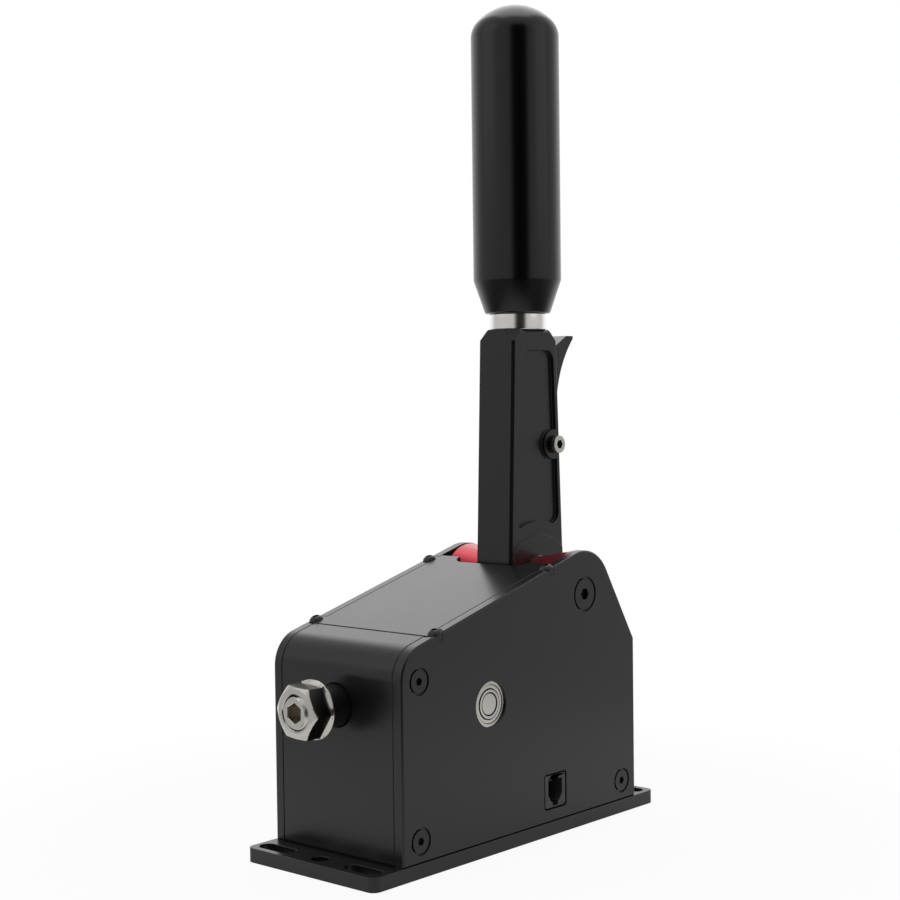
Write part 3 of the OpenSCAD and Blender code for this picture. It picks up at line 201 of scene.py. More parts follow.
class ShapeSettings(bpy.types.PropertyGroup):
    """Sizes of the turned pieces and rounded edges."""

    plate_edge: FloatProperty(
        name="Plate edge", description="Rounding of the base's and side plates' edges", unit="LENGTH",
        default=0.15 * MM)
    seam_edge: FloatProperty(
        name="Seam edge", description="Rounding of the rear block and covers between the plates",
        unit="LENGTH", default=0.28 * MM)
    front_seam_edge: FloatProperty(
        name="Front seam edge", description="Rounding of the front block between the plates",
        unit="LENGTH", default=0.6 * MM)
    lever_edge: FloatProperty(
        name="Lever edge", description="Rounding of the lever's and trigger's edges", unit="LENGTH",
        default=0.15 * MM)
    screw_edge: FloatProperty(
        name="Screw edge", description="Rounding of the screws' edges", unit="LENGTH", default=0.12 * MM)
    jack_edge: FloatProperty(
        name="Jack edge", description="Rounding of the data jack's edges", unit="LENGTH", default=0.24 * MM)
    contact_edge: FloatProperty(
        name="Contact edge", description="Rounding of the jack's contacts", unit="LENGTH", default=0.06 * MM)
    spacer_edge: FloatProperty(
        name="Spacer edge", description="Rounding of the pivot spacers' edges", unit="LENGTH",
        default=0.24 * MM)
    grip_low_radius: FloatProperty(
        name="Grip low radius", description="Radius of the grip's lower end", unit="LENGTH",
        default=12.2 * MM)
    grip_taper: FloatProperty(
        name="Grip taper", description="Length of the grip's tapered lower end", unit="LENGTH",
        default=12.5 * MM)
    grip_shoulder: FloatProperty(
        name="Grip shoulder", description="Radius of the grip's upper shoulder", unit="LENGTH",
        default=9.0 * MM)
    grip_crown: FloatProperty(
        name="Grip crown", description="Height of the grip's top above the shoulder's centre", unit="LENGTH",
        default=12.2 * MM)
    stud_radius: FloatProperty(
        name="Stud radius", description="Radius of the bore for the stud in collar and grip", unit="LENGTH",
        default=4.05 * MM)
    nut_flats: FloatProperty(
        name="Nut flats", description="Size of the lock nut across its flats", unit="LENGTH", default=17 * MM)
    nut_flange: FloatProperty(
        name="Nut flange", description="Thickness of the lock nut's flange", unit="LENGTH", default=1 * MM)
    nut_turn: FloatProperty(
        name="Nut turn", description="Turn of the lock nut from a flat on top", subtype="ANGLE",
        default=math.radians(4))
    thread_pitch: FloatProperty(
        name="Thread pitch", description="Pitch of the adjuster screw's thread", unit="LENGTH",
        default=1.75 * MM)
    thread_depth: FloatProperty(
        name="Thread depth", description="Depth of the adjuster screw's thread", unit="LENGTH",
        default=0.9 * MM)
    socket_flats: FloatProperty(
        name="Socket flats", description="Size of the adjuster screw's socket across its flats",
        unit="LENGTH", default=6 * MM)
    spring_turns: FloatProperty(name="Spring turns", description="Turns of the return spring", default=4.25)
    spring_wire: FloatProperty(
        name="Spring wire", description="Wire diameter of the return spring", unit="LENGTH", default=2.4 * MM)
    trigger_spring_turns: FloatProperty(
        name="Trigger spring turns", description="Turns of the trigger's spring", default=5.0)
    trigger_spring_wire: FloatProperty(
        name="Trigger spring wire", description="Wire diameter of the trigger's spring", unit="LENGTH",
        default=0.6 * MM)
    sides: IntProperty(name="Sides", description="Points round the floor, nut and adjuster screw", default=96)
    grip_sides: IntProperty(name="Grip sides", description="Points round the grip and collar", default=128)


class Shade:
    """One socket of a node tree. Arithmetic on it adds Math nodes to the same tree."""

    def __init__(self, tree, socket=None):
        self.tree = tree
        self.socket = socket

    def node(self, kind, settings=None, inputs=None, output=0):
        """Adds a node, sets its settings, feeds its sockets and gives one of its outputs."""
        made = self.tree.nodes.new(kind)
        for name, value in (settings or {}).items():
            setattr(made, name, value)
        shade = Shade(self.tree, made.outputs[output] if len(made.outputs) else None)
        shade.feed(made, inputs or {})
        return shade

    def feed(self, node, inputs):
        """Sets each named socket of a node to a value, or links a shade to it."""
        for key, value in inputs.items():
            if isinstance(value, Shade):
                self.tree.links.new(value.socket, node.inputs[key])
            else:
                node.inputs[key].default_value = value

    def math(self, operation, first, second=0.0):
        """Math node on one or two values."""
        return self.node("ShaderNodeMath", {"operation": operation}, {0: first, 1: second})

    def __add__(self, other):
        return self.math("ADD", self, other)

    __radd__ = __add__

    def __sub__(self, other):
        return self.math("SUBTRACT", self, other)

    def __rsub__(self, other):
        return self.math("SUBTRACT", other, self)

    def __mul__(self, other):
        return self.math("MULTIPLY", self, other)

    __rmul__ = __mul__

    def __abs__(self):
        return self.math("ABSOLUTE", self)

    def rise(self, low, high):
        """Smooth step from 0 at low to 1 at high."""
        return self.node("ShaderNodeMapRange", {"interpolation_type": "SMOOTHSTEP"},
                         {"Value": self, "From Min": low, "From Max": high})

    def blend(self, first, second):
        """Colour that goes from first to second as this value goes from 0 to 1."""
        return self.node("ShaderNodeMix", {"data_type": "RGBA"},
                         {0: self, 6: rgba(first), 7: rgba(second)}, 2)

    def noise(self, size, detail):
        """Noise with grains of a size in metres, on this vector."""
        return self.node("ShaderNodeTexNoise", None, {"Vector": self, "Scale": 1 / size, "Detail": detail})

    def dot(self, vector):
        """Dot product with a constant vector."""
        return self.node("ShaderNodeVectorMath", {"operation": "DOT_PRODUCT"}, {0: self, 1: vector}, 1)

    def ray(self, kind):
        """1 for a light path's rays of one kind, else 0."""
        return self.node("ShaderNodeLightPath", output=f"Is {kind} Ray")

    def mirrored(self):
        """1 for rays that come off a shiny surface or through a clear one, else 0."""
        return self.math("MAXIMUM", self.ray("Glossy"), self.ray("Transmission"))


def rgba(colour):
    """A colour with full opacity."""
    return (*colour, 1.0)


def scaled(colour, factor):
    """A colour made lighter or darker by a factor."""
    return tuple(channel * factor for channel in colour)


def empty_tree(owner):
    """Clears the nodes of a material or world. Gives a shade to add new ones with."""
    owner.use_nodes = True
    owner.node_tree.nodes.clear()
    return Shade(owner.node_tree)


def new_object(name, data):
    """Puts an object with some data in the scene."""
    made = bpy.data.objects.new(name, data)
    bpy.context.scene.collection.objects.link(made)
    return made


def new_finish(name, constants):
    """Material with a Principled shader, kept under its name. Gives its tree's shade and the shader."""
    FINISHES[name] = bpy.data.materials.new(name)
    root = empty_tree(FINISHES[name])
    shader = root.node("ShaderNodeBsdfPrincipled", None, constants)
    root.node("ShaderNodeOutputMaterial", None, {"Surface": shader})
    return root, shader


def grained_finish(name, colour, roughness, grain, bump, spread, constants):
    """Even finish with clouds in tone and roughness, and a fine grain that stands up by bump."""
    cloud_size = 18 * MM
    root, shader = new_finish(name, constants)
    place = root.node("ShaderNodeTexCoord", output="Object")
    cloud = place.noise(cloud_size, 3.0)
    height = place.noise(grain, 1.0)
    normal = root.node("ShaderNodeBump", None, {"Strength": 0.35, "Distance": bump, "Height": height})
    shader.feed(shader.socket.node, {
        "Base Color": cloud.blend(scaled(colour, 1 - spread), scaled(colour, 1 + spread)),
        "Roughness": roughness + (cloud - 0.5) * (roughness * spread * 2),
        "Normal": normal,
    })


def turned_finish(name, colour, roughness, axis, pitch, bump, constants):
    """Turned metal: fine rings along an axis, uneven in height, with clouds in tone and roughness."""
    cloud_size = 6 * MM
    lowest_ring = 0.4
    darkest, lightest = 0.9, 1.06
    roughness_span = 0.5
    root, shader = new_finish(name, constants)
    place = root.node("ShaderNodeTexCoord", output="Object")
    cloud = place.noise(cloud_size, 2.0)
    rings = root.math("SINE", place.dot(axis) * (math.tau / pitch))
    uneven = rings * (cloud * (1 - lowest_ring) + lowest_ring)
    normal = root.node("ShaderNodeBump", None, {"Strength": 0.3, "Distance": bump, "Height": uneven})
    shader.feed(shader.socket.node, {
        "Base Color": cloud.blend(scaled(colour, darkest), scaled(colour, lightest)),
        "Roughness": roughness + (cloud - 0.5) * (roughness * roughness_span),
        "Normal": normal,
    })


def make_finishes():
    """All the finishes, under the names of the record's slots and a few of their own."""
    look = bpy.context.scene.pull_lever_finish
    plain = {}
    metal = {"Metallic": 1.0}
    dyed = {"Metallic": 0.75, "Coat Weight": 0.3, "Coat Roughness": 0.25}
    # Name, colour, roughness, size and height of the grain in millimetres, spread of the clouds, constants.
    for name, colour, roughness, grain, bump, spread, constants in (
            ("black_anodised", look.black, 0.28, 0.22, 0.005, 0.06, plain),
            ("black_edge", look.black_edge, 0.25, 0.22, 0.01, 0.12, plain),
            ("seam_black", look.seam, 0.55, 0.22, 0.01, 0.12, plain),
            ("grip_black", look.grip, 0.22, 0.3, 0.006, 0.12, plain),
            ("black_steel", look.screw, 0.32, 0.12, 0.008, 0.12, plain),
            ("black_plastic", look.plastic, 0.3, 0.2, 0.008, 0.12, plain),
            ("board_green", look.board, 0.35, 0.4, 0.01, 0.12, plain),
            ("bronze", look.bronze, 0.38, 0.15, 0.01, 0.12, metal),
            ("gold_contacts", look.gold, 0.22, 0.1, 0.002, 0.12, metal),
            ("bright_steel", look.steel, 0.24, 0.18, 0.004, 0.12, metal),
            ("bearing_steel", look.bearing, 0.24, 0.18, 0.004, 0.12, metal),
            ("dark_steel", look.dark_steel, 0.2, 0.18, 0.004, 0.12, metal),
            ("socket_painted_shade", look.socket, 0.3, 0.18, 0.004, 0.12, metal)):
        grained_finish(name, colour, roughness, grain * MM, bump * MM, spread, constants)
    # Name, colour, roughness, axis of turning, pitch and height of the rings in millimetres, constants.
    for name, colour, roughness, axis, pitch, bump, constants in (
            ("red_anodised", look.red, 0.3, (0.0, 1.0, 0.0), 0.35, 0.004, dyed),
            ("bright_aluminium", look.collar, 0.2, (0.0, 0.0, 1.0), 0.22, 0.002, metal),
            ("turned_steel", look.steel, 0.2, (1.0, 0.0, 0.0), 0.25, 0.002, metal)):
        turned_finish(name, colour, roughness, axis, pitch * MM, bump * MM, constants)


def grid_mesh(name, points, close_rows=False):
    """Mesh of a grid of points, closed along its columns and, if asked, along its rows."""
    rows, columns = points.shape[:2]
    index = np.arange(rows * columns).reshape(rows, columns)
    index = np.hstack([index, index[:, :1]])
    if close_rows:
        index = np.vstack([index, index[:1]])
    faces = np.stack([index[:-1, :-1], index[:-1, 1:], index[1:, 1:], index[1:, :-1]], axis=-1)
    mesh = bpy.data.meshes.new(name)
    mesh.from_pydata(points.reshape(-1, 3), [], faces.reshape(-1, 4))
    shaped = bmesh.new()
    shaped.from_mesh(mesh)
    bmesh.ops.remove_doubles(shaped, verts=shaped.verts, dist=GRID_MERGE)
    bmesh.ops.recalc_face_normals(shaped, faces=shaped.faces)
    shaped.to_mesh(mesh)
    shaped.free()
    smooth(mesh)
    return mesh


def smooth(mesh):
    """Smooth shading, with sharp bends left sharp."""
    mesh.shade_smooth()
    mesh.set_sharp_from_angle(angle=SHARP_BEND)


def angles(count):
    """Angles of a full turn, as one row."""
    return np.linspace(0, math.tau, count, endpoint=False)[None, :]


def direction(turn, rise):
    """Unit vector that turns round Z from -Y and rises above the floor."""
    return Vector((math.sin(turn) * math.cos(rise), -math.cos(turn) * math.cos(rise), math.sin(rise)))


def revolve(radius, height, theta):
    """Points (r cos t, r sin t, h) of a turned form. Radius may change with the angle."""
    return np.stack([radius * np.cos(theta), radius * np.sin(theta), height + 0 * theta], axis=-1)


def upright(profile, middle, sides):
    """Profile of (radius, height) turned about the upright line through a middle."""
    points = revolve(profile[:, :1], profile[:, 1:], angles(sides))
    return points + np.array([middle.x, middle.y, 0.0])


def along_x(points, x, z, turn=0.0):
    """Turned form whose axis becomes -X, with its height 0 at x and its axis at z."""
    spin = Matrix.Rotation(turn, 3, "X") @ Matrix(((0, 0, -1), (0, -1, 0), (-1, 0, 0)))
    return points @ np.array(spin).T + np.array([x, 0.0, z])


def rounded(corners, radius, steps=5):
    """Polyline whose inner corners become parabolas, which start and end a radius from the corner.

    Where a side is short, its bends end just before its middle.
    """
    most = 0.49
    corners = np.array(corners, float)
    before = corners[:-2] - corners[1:-1]
    after = corners[2:] - corners[1:-1]
    reach_before = np.minimum(radius, most * np.linalg.norm(before, axis=1))[:, None]
    reach_after = np.minimum(radius, most * np.linalg.norm(after, axis=1))[:, None]
    start = corners[1:-1] + before / np.linalg.norm(before, axis=1)[:, None] * reach_before
    end = corners[1:-1] + after / np.linalg.norm(after, axis=1)[:, None] * reach_after
    t = np.linspace(0, 1, steps)[None, :, None]
    bends = (1 - t) ** 2 * start[:, None] + 2 * t * (1 - t) * corners[1:-1, None] + t ** 2 * end[:, None]
    return np.vstack([corners[:1], bends.reshape(-1, 2), corners[-1:]])


def arc(centre, radius, first, last, count):
    """Points on a circle from one angle to another."""
    turn = np.linspace(first, last, count)
    return np.stack([centre[0] + radius * np.cos(turn), centre[1] + radius * np.sin(turn)], axis=-1)


def hexagon(flats, theta):
    """Radius of a hexagon at an angle: half its flats over the cosine of the angle to the nearest flat."""
    sixth = math.pi / 3
    return flats / 2 / np.cos((theta + sixth / 2) % sixth - sixth / 2)


def coil_mesh(name, start, end, radius, wire, turns, steps=24, sides=10):
    """Round wire along a helix: centre + radius (cos t, sin t) about the axis from start to end."""
    axis = end - start
    length = np.linalg.norm(axis)
    axis = axis / length
    side = np.cross(axis, [0.0, 1.0, 0.0])
    side = side / np.linalg.norm(side)
    up = np.cross(axis, side)
    turn = np.linspace(0, math.tau * turns, int(turns * steps) + 1)[:, None]
    share = turn / (math.tau * turns)
    out = np.cos(turn) * side + np.sin(turn) * up
    middle = start + share * length * axis + radius * out
    phi = angles(sides)[0]
    ring = out[:, None, :] * np.cos(phi)[None, :, None] + axis * np.sin(phi)[None, :, None]
    points = middle[:, None, :] + wire / 2 * ring
    caps = [np.repeat(middle[i][None, None, :], sides, axis=1) for i in (0, -1)]
    return grid_mesh(name, np.concatenate([caps[0], points, caps[1]]))


def node_points(node):
    """Vertices of a CAD node as an array."""
    mesh = frame["nodes"][node].data
    flat = np.zeros(len(mesh.vertices) * 3)
    mesh.vertices.foreach_get("co", flat)
    return flat.reshape(-1, 3)


def add_piece(name, mesh, node, *finishes):
    """Puts a mesh in the scene in place of a CAD node, on the node's body and with the given finishes."""
    piece = new_object(name, mesh)
    mesh.materials.clear()
    for finish in finishes:
        mesh.materials.append(FINISHES[finish])
    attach(piece, BODY_OF[node])
    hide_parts(node)
    return piece


def rounded_copy(node, width, finish, edge=None, segments=3):
    """Merged copy of a CAD node, its flat triangles joined and its sharp edges rounded by a width.

    The rounded edges take a finish of their own where one is given; the callers use it for painted highlight with
    edge wear, and for painted shade along seams and bearings.
    """
    mesh = frame["nodes"][node].data.copy()
    shaped = bmesh.new()
    shaped.from_mesh(mesh)
    bmesh.ops.remove_doubles(shaped, verts=shaped.verts, dist=COPY_MERGE)
    bmesh.ops.dissolve_limit(shaped, angle_limit=FLAT_BEND, verts=shaped.verts, edges=shaped.edges)
    shaped.to_mesh(mesh)
    shaped.free()
    if "custom_normal" in mesh.attributes:
        mesh.attributes.remove(mesh.attributes["custom_normal"])
    smooth(mesh)
    finishes = (finish, edge) if edge else (finish,)
    piece = add_piece(node + "_rounded", mesh, node, *finishes)
    bevel = piece.modifiers.new("rounded edges", "BEVEL")
    bevel.width = width
    bevel.segments = segments
    bevel.limit_method = "ANGLE"
    bevel.angle_limit = ROUNDED_BEND
    bevel.use_clamp_overlap = False
    bevel.material = 1 if edge else -1
    flat = piece.modifiers.new("flat faces", "WEIGHTED_NORMAL")
    flat.keep_sharp = True
    return piece


def paint(mesh, chosen):
    """Gives the second finish, which paints shade, to the faces that a test of their centres and normals chooses.
    """
    centres = np.zeros(len(mesh.polygons) * 3)
    normals = np.zeros(len(mesh.polygons) * 3)
    mesh.polygons.foreach_get("center", centres)
    mesh.polygons.foreach_get("normal", normals)
    faces = chosen(centres.reshape(-1, 3), normals.reshape(-1, 3))
    mesh.polygons.foreach_set("material_index", faces.astype(np.int32))


class PULL_LEVER_OT_stage(bpy.types.Operator):
    """Make the round floor, the studio light and the camera"""

    bl_idname = "pull_lever.stage"
    bl_label = "Studio"

    def execute(self, context):
        studio = context.scene.pull_lever_studio
        self.make_floor(studio, context.scene.pull_lever_shape.sides)
        self.make_world(context, studio)
        self.make_lamps(studio)
        self.make_camera(context, studio)
        context.scene.view_settings.view_transform = "Standard"
        return {"FINISHED"}

    def make_floor(self, studio, sides):
        """Flat disc just below the object, mixed with white for the camera and for reflections.

        For the camera the white is full at the rim, so that the floor fades into the background.
        """
        drop = 0.1 * MM
        radius = np.linspace(0, studio.floor_radius, 4)[:, None]
        mesh = grid_mesh("floor", revolve(radius, 0 * radius - drop, angles(sides)))
        floor = new_object("floor", mesh)
        material = bpy.data.materials.new("pale_floor")
        root = empty_tree(material)
        place = root.node("ShaderNodeTexCoord", output="Object")
        reach = root.node("ShaderNodeVectorMath", {"operation": "LENGTH"}, {0: place}, 1)
        rim = reach.rise(studio.floor_radius / 2, studio.floor_radius)
        shown = studio.floor_shown + rim * (1.0 - studio.floor_shown)
        seen = root.math("MAXIMUM", root.ray("Camera") * shown, root.mirrored() * studio.floor_mirrored)
        plain = root.node("ShaderNodeBsdfDiffuse", None, {"Color": rgba([studio.floor_shade] * 3)})
        white = root.node("ShaderNodeEmission", None, {"Strength": 1.0})
        mixed = root.node("ShaderNodeMixShader", None, {0: seen, 1: plain, 2: white})
        root.node("ShaderNodeOutputMaterial", None, {"Surface": mixed})
        mesh.materials.append(material)

    def make_world(self, context, studio):
        """White for the camera, and for reflections of what lies behind the object.

        For light, side panels with a dark gap in front, a level of its own overhead, a long soft box
        above and behind the object, and less from below.
        """
        world = bpy.data.worlds.new("studio")
        context.scene.world = world
        root = empty_tree(world)
        way = root.node("ShaderNodeTexCoord", output="Generated")
        sine, cosine = math.sin(studio.azimuth), math.cos(studio.azimuth)
        ahead = way.dot((sine, -cosine, 0.0))
        beside = way.dot((cosine, sine, 0.0))
        height = way.dot((0.0, 0.0, 1.0))
        back = 0.0 - ahead
        off = abs(root.math("ARCTAN2", beside, ahead) - studio.gap_middle)
        panel = off.rise(studio.gap_half - GAP_SOFTNESS, studio.gap_half + GAP_SOFTNESS)
        level = studio.gap_level + panel * (studio.panel_level - studio.gap_level)
        overhead = height.rise(*OVERHEAD)
        level = level + overhead * (studio.top_level - level)
        long_box = (1.0 - abs(beside).rise(*BOX_END)) * height.rise(*BOX_HEIGHT) * back.rise(*BOX_FRONT)
        level = level + long_box * (studio.long_box_level - level)
        below = (0.0 - height).rise(*BELOW)
        level = level * (1.0 - below * (1.0 - studio.under_level))
        backdrop = back.rise(*BEHIND) * (1.0 - overhead) * (1.0 - long_box)
        white = root.math("MAXIMUM", root.ray("Camera"), root.mirrored() * backdrop)
        shown = level + white * (1.0 - level)
        background = root.node("ShaderNodeBackground", None, {"Color": shown, "Strength": 1.0})
        root.node("ShaderNodeOutputWorld", None, {"Surface": background})

    def make_lamps(self, studio):
        """Two soft lamps on the panels' sides and one overhead, all turned to the object."""
        for name, turn, rise, reach, size in LAMPS:
            light = bpy.data.lights.new(name, "AREA")
            light.energy = studio.lamp_power
            light.size = size
            lamp = new_object(name, light)
            back = direction(studio.azimuth + math.radians(turn), math.radians(rise))
            lamp.location = Vector(studio.target) + back * reach
            lamp.rotation_euler = (-back).to_track_quat("-Z", "Y").to_euler()

    def make_camera(self, context, studio):
        """Camera on a ball round its target, turned about its own axis by the roll."""
        back = direction(studio.azimuth, studio.elevation)
        right = Vector((math.cos(studio.azimuth), math.sin(studio.azimuth), 0.0))
        up = back.cross(right)
        cosine, sine = math.cos(studio.roll), math.sin(studio.roll)
        axes = Matrix((cosine * right + sine * up, cosine * up - sine * right, back)).transposed()
        data = bpy.data.cameras.new("camera")
        data.lens = studio.lens
        data.sensor_width = 36.0
        data.clip_start = 0.01
        camera = new_object("camera", data)
        place = Vector(studio.target) + studio.distance * back
        camera.matrix_world = Matrix.Translation(place) @ axes.to_4x4()
        context.scene.camera = camera


class PULL_LEVER_OT_housing(bpy.types.Operator):
    """Round the edges of the plates, blocks and covers, with painted shade along the seams and a lighter plate
    edge that is partly wear and partly a painted highlight
    """

    bl_idname = "pull_lever.housing"
    bl_label = "Housing"

    def execute(self, context):
        shape = context.scene.pull_lever_shape
        for node in ("base_plate", "right_side_plate", "left_side_plate"):
            # Their rounded edges get a lighter finish: partly edge wear, partly a painted highlight.
            rounded_copy(node, shape.plate_edge, "black_anodised", "black_edge")
        # The blocks' and covers' rounded edges get painted shade along the seams.
        rounded_copy("front_block", shape.front_seam_edge, "black_anodised", "seam_black")
        for node in ("rear_block", "top_cover", "rear_cover"):
            rounded_copy(node, shape.seam_edge, "black_anodised", "seam_black")
        return {"FINISHED"}


class PULL_LEVER_OT_lever(bpy.types.Operator):
    """Round the edges of the lever and the trigger, and give them a lighter edge finish, partly edge wear and
    partly a painted highlight
    """

    bl_idname = "pull_lever.lever"
    bl_label = "Lever and trigger"

    def execute(self, context):
        width = context.scene.pull_lever_shape.lever_edge
        for node in ("lever", "trigger"):
            # Their rounded edges get a lighter finish: partly edge wear, partly a painted highlight.
            rounded_copy(node, width, "black_anodised", "black_edge")
        return {"FINISHED"}


class PULL_LEVER_OT_grip(bpy.types.Operator):
    """Turn the grip and the collar below it"""

    bl_idname = "pull_lever.grip"
    bl_label = "Grip and collar"

    def execute(self, context):
        shape = context.scene.pull_lever_shape
        self.make_grip(shape)
        self.make_collar(shape)
        return {"FINISHED"}

    def make_grip(self, shape):
        """Bore, cone, straight wall, round shoulder and flat crown, about the grip's own axis.

        The crown is the circle about the axis that touches the shoulder's circle and the top.
        """
        corner = 0.7 * MM
        end_gap = 0.1 * MM
        wall_start = 3 * MM
        wall_step = 1 * MM
        wall_rows = 12
        bend_rows = 24
        low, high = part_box("grip")
        middle = (low + high) / 2
        radius = (high.x - low.x) / 2
        shoulder = (radius - shape.grip_shoulder, high.z - shape.grip_crown)
        crown = ((shape.grip_crown ** 2 + shoulder[0] ** 2 - shape.grip_shoulder ** 2)
                 / (2 * (shape.grip_crown - shape.grip_shoulder)))
        meet = math.atan2(crown - shape.grip_crown, shoulder[0])
        taper = low.z + shape.grip_taper
        bore = shape.stud_radius
        bore_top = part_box("grip_stud")[1].z + end_gap
        cone = rounded([(0, bore_top), (bore, bore_top), (bore, low.z), (shape.grip_low_radius, low.z),
                        (radius, taper), (radius, taper + wall_start)], corner)
        heights = np.linspace(taper + wall_start + wall_step, shoulder[1] - wall_step, wall_rows)
        wall = np.stack([np.full(wall_rows, radius), heights], -1)
        bend = arc(shoulder, shape.grip_shoulder, 0, meet, bend_rows)
        top = arc((0, high.z - crown), crown, meet, math.pi / 2, bend_rows)[1:]
        points = upright(np.vstack([cone, wall, bend, top]), middle, shape.grip_sides)
        add_piece("grip_turned", grid_mesh("grip_turned", points), "grip", "grip_black")

    def make_collar(self, shape):
        """Ring with softened corners, from the middle of its bore round its section and back."""
        corner = 0.45 * MM
        low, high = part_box("grip_collar")
        middle = (low + high) / 2
        radius = (high.x - low.x) / 2
        bore = shape.stud_radius
        start = (bore, middle.z)
        section = [start, (bore, low.z), (radius, low.z), (radius, high.z), (bore, high.z), start]
        points = upright(rounded(section, corner)[:-1], middle, shape.grip_sides)
        mesh = grid_mesh("collar_turned", points, True)
        add_piece("collar_turned", mesh, "grip_collar", "bright_aluminium")


class PULL_LEVER_OT_adjuster(bpy.types.Operator):
    """Make the lock nut, the threaded adjuster screw and its bush"""

    bl_idname = "pull_lever.adjuster"
    bl_label = "Adjuster"

    def execute(self, context):
        shape = context.scene.pull_lever_shape
        self.make_nut(shape)
        self.make_screw(shape)
        rounded_copy("adjuster_bush", shape.screw_edge, "black_steel")
        return {"FINISHED"}

    def make_nut(self, shape):
        """Flange and hexagon. Near the face the radius is the smaller of the hexagon's and a cone's. The hexagon's
        flats get painted shade.
        """
        bore_gap = 0.05 * MM
        edge = 0.25 * MM
        fillet = 0.5 * MM
        mouth = 0.35 * MM
        face = 0.47 * shape.nut_flats
        cone_length = 2.2 * MM
        cone_rows = 14
        cone_slope = math.tan(math.radians(60))
        most_tilt = 0.3
        low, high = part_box("lock_nut")
        axis_z = (low.z + high.z) / 2
        length = high.x - low.x
        flange = (high.z - low.z) / 2
        step = shape.nut_flange
        screw_low, screw_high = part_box("adjuster_screw")
        bore = (screw_high.z - screw_low.z) / 2 + bore_gap
        theta = angles(shape.sides)
        hexa = hexagon(shape.nut_flats, theta)
        ones = np.ones_like(theta)
        rows = [(bore * ones, 0), ((flange - edge) * ones, 0), (flange * ones, edge),
                (flange * ones, step - 2 * edge), ((flange - edge) * ones, step - edge),
                (hexa + fillet, step), (hexa, step + fillet)]
        for height in np.linspace(length - cone_length, length, cone_rows):
            cone = face + (length - height) * cone_slope
            rows.append((np.minimum(hexa, cone), height))
        rows += [((bore + mouth) * ones, length), (bore * ones, length - mouth)]
        radius = np.vstack([row[0] for row in rows])
        height = np.array([row[1] for row in rows])[:, None]
        points = along_x(revolve(radius, height, theta), high.x, axis_z, shape.nut_turn)
        piece = add_piece("lock_nut_turned", grid_mesh("lock_nut_turned", points, True), "lock_nut",
                          "turned_steel", "dark_steel")
        front = high.x - step

        # Faces of the hexagon's flats, which get painted shade.
        def on_flats(centres, normals):
            return (np.abs(normals[:, 0]) < most_tilt) & (centres[:, 0] < front)

        paint(piece.data, on_flats)

    def make_screw(self, shape):
        """Thread whose radius falls and rises along a helix, with chamfered ends and a hexagon socket with painted
        shade inside.

        The groove's depth falls off with the distance from the helix, at a slope and from a flat root.
        """
        rows_per_turn = 10
        slope = 2.4
        root_flat = 0.1
        chamfer = 1.2 * MM
        depth = 6 * MM
        lip = 0.25 * MM
        low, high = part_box("adjuster_screw")
        axis_z = (low.z + high.z) / 2
        length = high.x - low.x
        outer = (high.z - low.z) / 2
        theta = angles(shape.sides)
        count = int(length / shape.thread_pitch * rows_per_turn)
        height = np.linspace(0, length, count)[:, None]
        phase = (height / shape.thread_pitch + theta / math.tau) % 1.0
        groove = np.clip(slope * np.abs(phase - 0.5) - root_flat, 0, 1)
        ends = np.minimum(height, length - height) / chamfer
        thread = outer - shape.thread_depth * np.maximum(1 - groove, 1 - np.clip(ends, 0, 1))
        socket = hexagon(shape.socket_flats, theta)
        zero = np.zeros_like(theta)
        radius = np.vstack([zero, thread, socket + lip, socket, socket, zero])
        heights = np.concatenate([[0], height[:, 0], [length, length - lip, length - depth, length - depth]])
        points = along_x(revolve(radius, heights[:, None], theta), high.x, axis_z, math.pi / 6)
        piece = add_piece("adjuster_screw_threaded", grid_mesh("adjuster_screw_threaded", points),
                          "adjuster_screw", "bright_steel", "socket_painted_shade")
        corner = socket.max() + lip / 4

        # Faces inside the socket, which get painted shade.
        def in_socket(centres, normals):
            reach = np.hypot(centres[:, 1], centres[:, 2] - axis_z)
            inside = centres[:, 0] - low.x
            return (reach < corner) & (inside > lip) & (inside < depth + lip)

        paint(piece.data, in_socket)


class PULL_LEVER_OT_fasteners(bpy.types.Operator):
    """Round the heads of all the screws and washers"""

    bl_idname = "pull_lever.fasteners"
    bl_label = "Screws"

    def execute(self, context):
        width = context.scene.pull_lever_shape.screw_edge
        for node in ("cover_screws", "rear_cover_screws", "side_plate_screws", "base_screws", "pivot_screws",
                     "trigger_washer"):
            rounded_copy(node, width, "black_steel", segments=2)
        rounded_copy("board_screws", width, "bright_steel", segments=2)
        self.make_trigger_screw(width)
        return {"FINISHED"}

    def make_trigger_screw(self, width):
        """Bright head whose socket, the faces near its axis and behind its face, gets painted shade."""
        socket_radius = 1.9 * MM
        face_depth = 0.02 * MM
        socket_depth = 1.6 * MM
        piece = rounded_copy("trigger_screw", width, "bright_steel", segments=2)
        piece.data.materials.append(FINISHES["dark_steel"])
        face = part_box("trigger_screw")[0].y
        axis = JOINTS["trigger_squeeze"]["pos_m"]

        # Faces inside the socket, which get painted shade.
        def in_socket(centres, normals):
            reach = np.hypot(centres[:, 0] - axis[0], centres[:, 2] - axis[2])
            depth = centres[:, 1] - face
            return (reach < socket_radius) & (depth > face_depth) & (depth < socket_depth)

        paint(piece.data, in_socket)


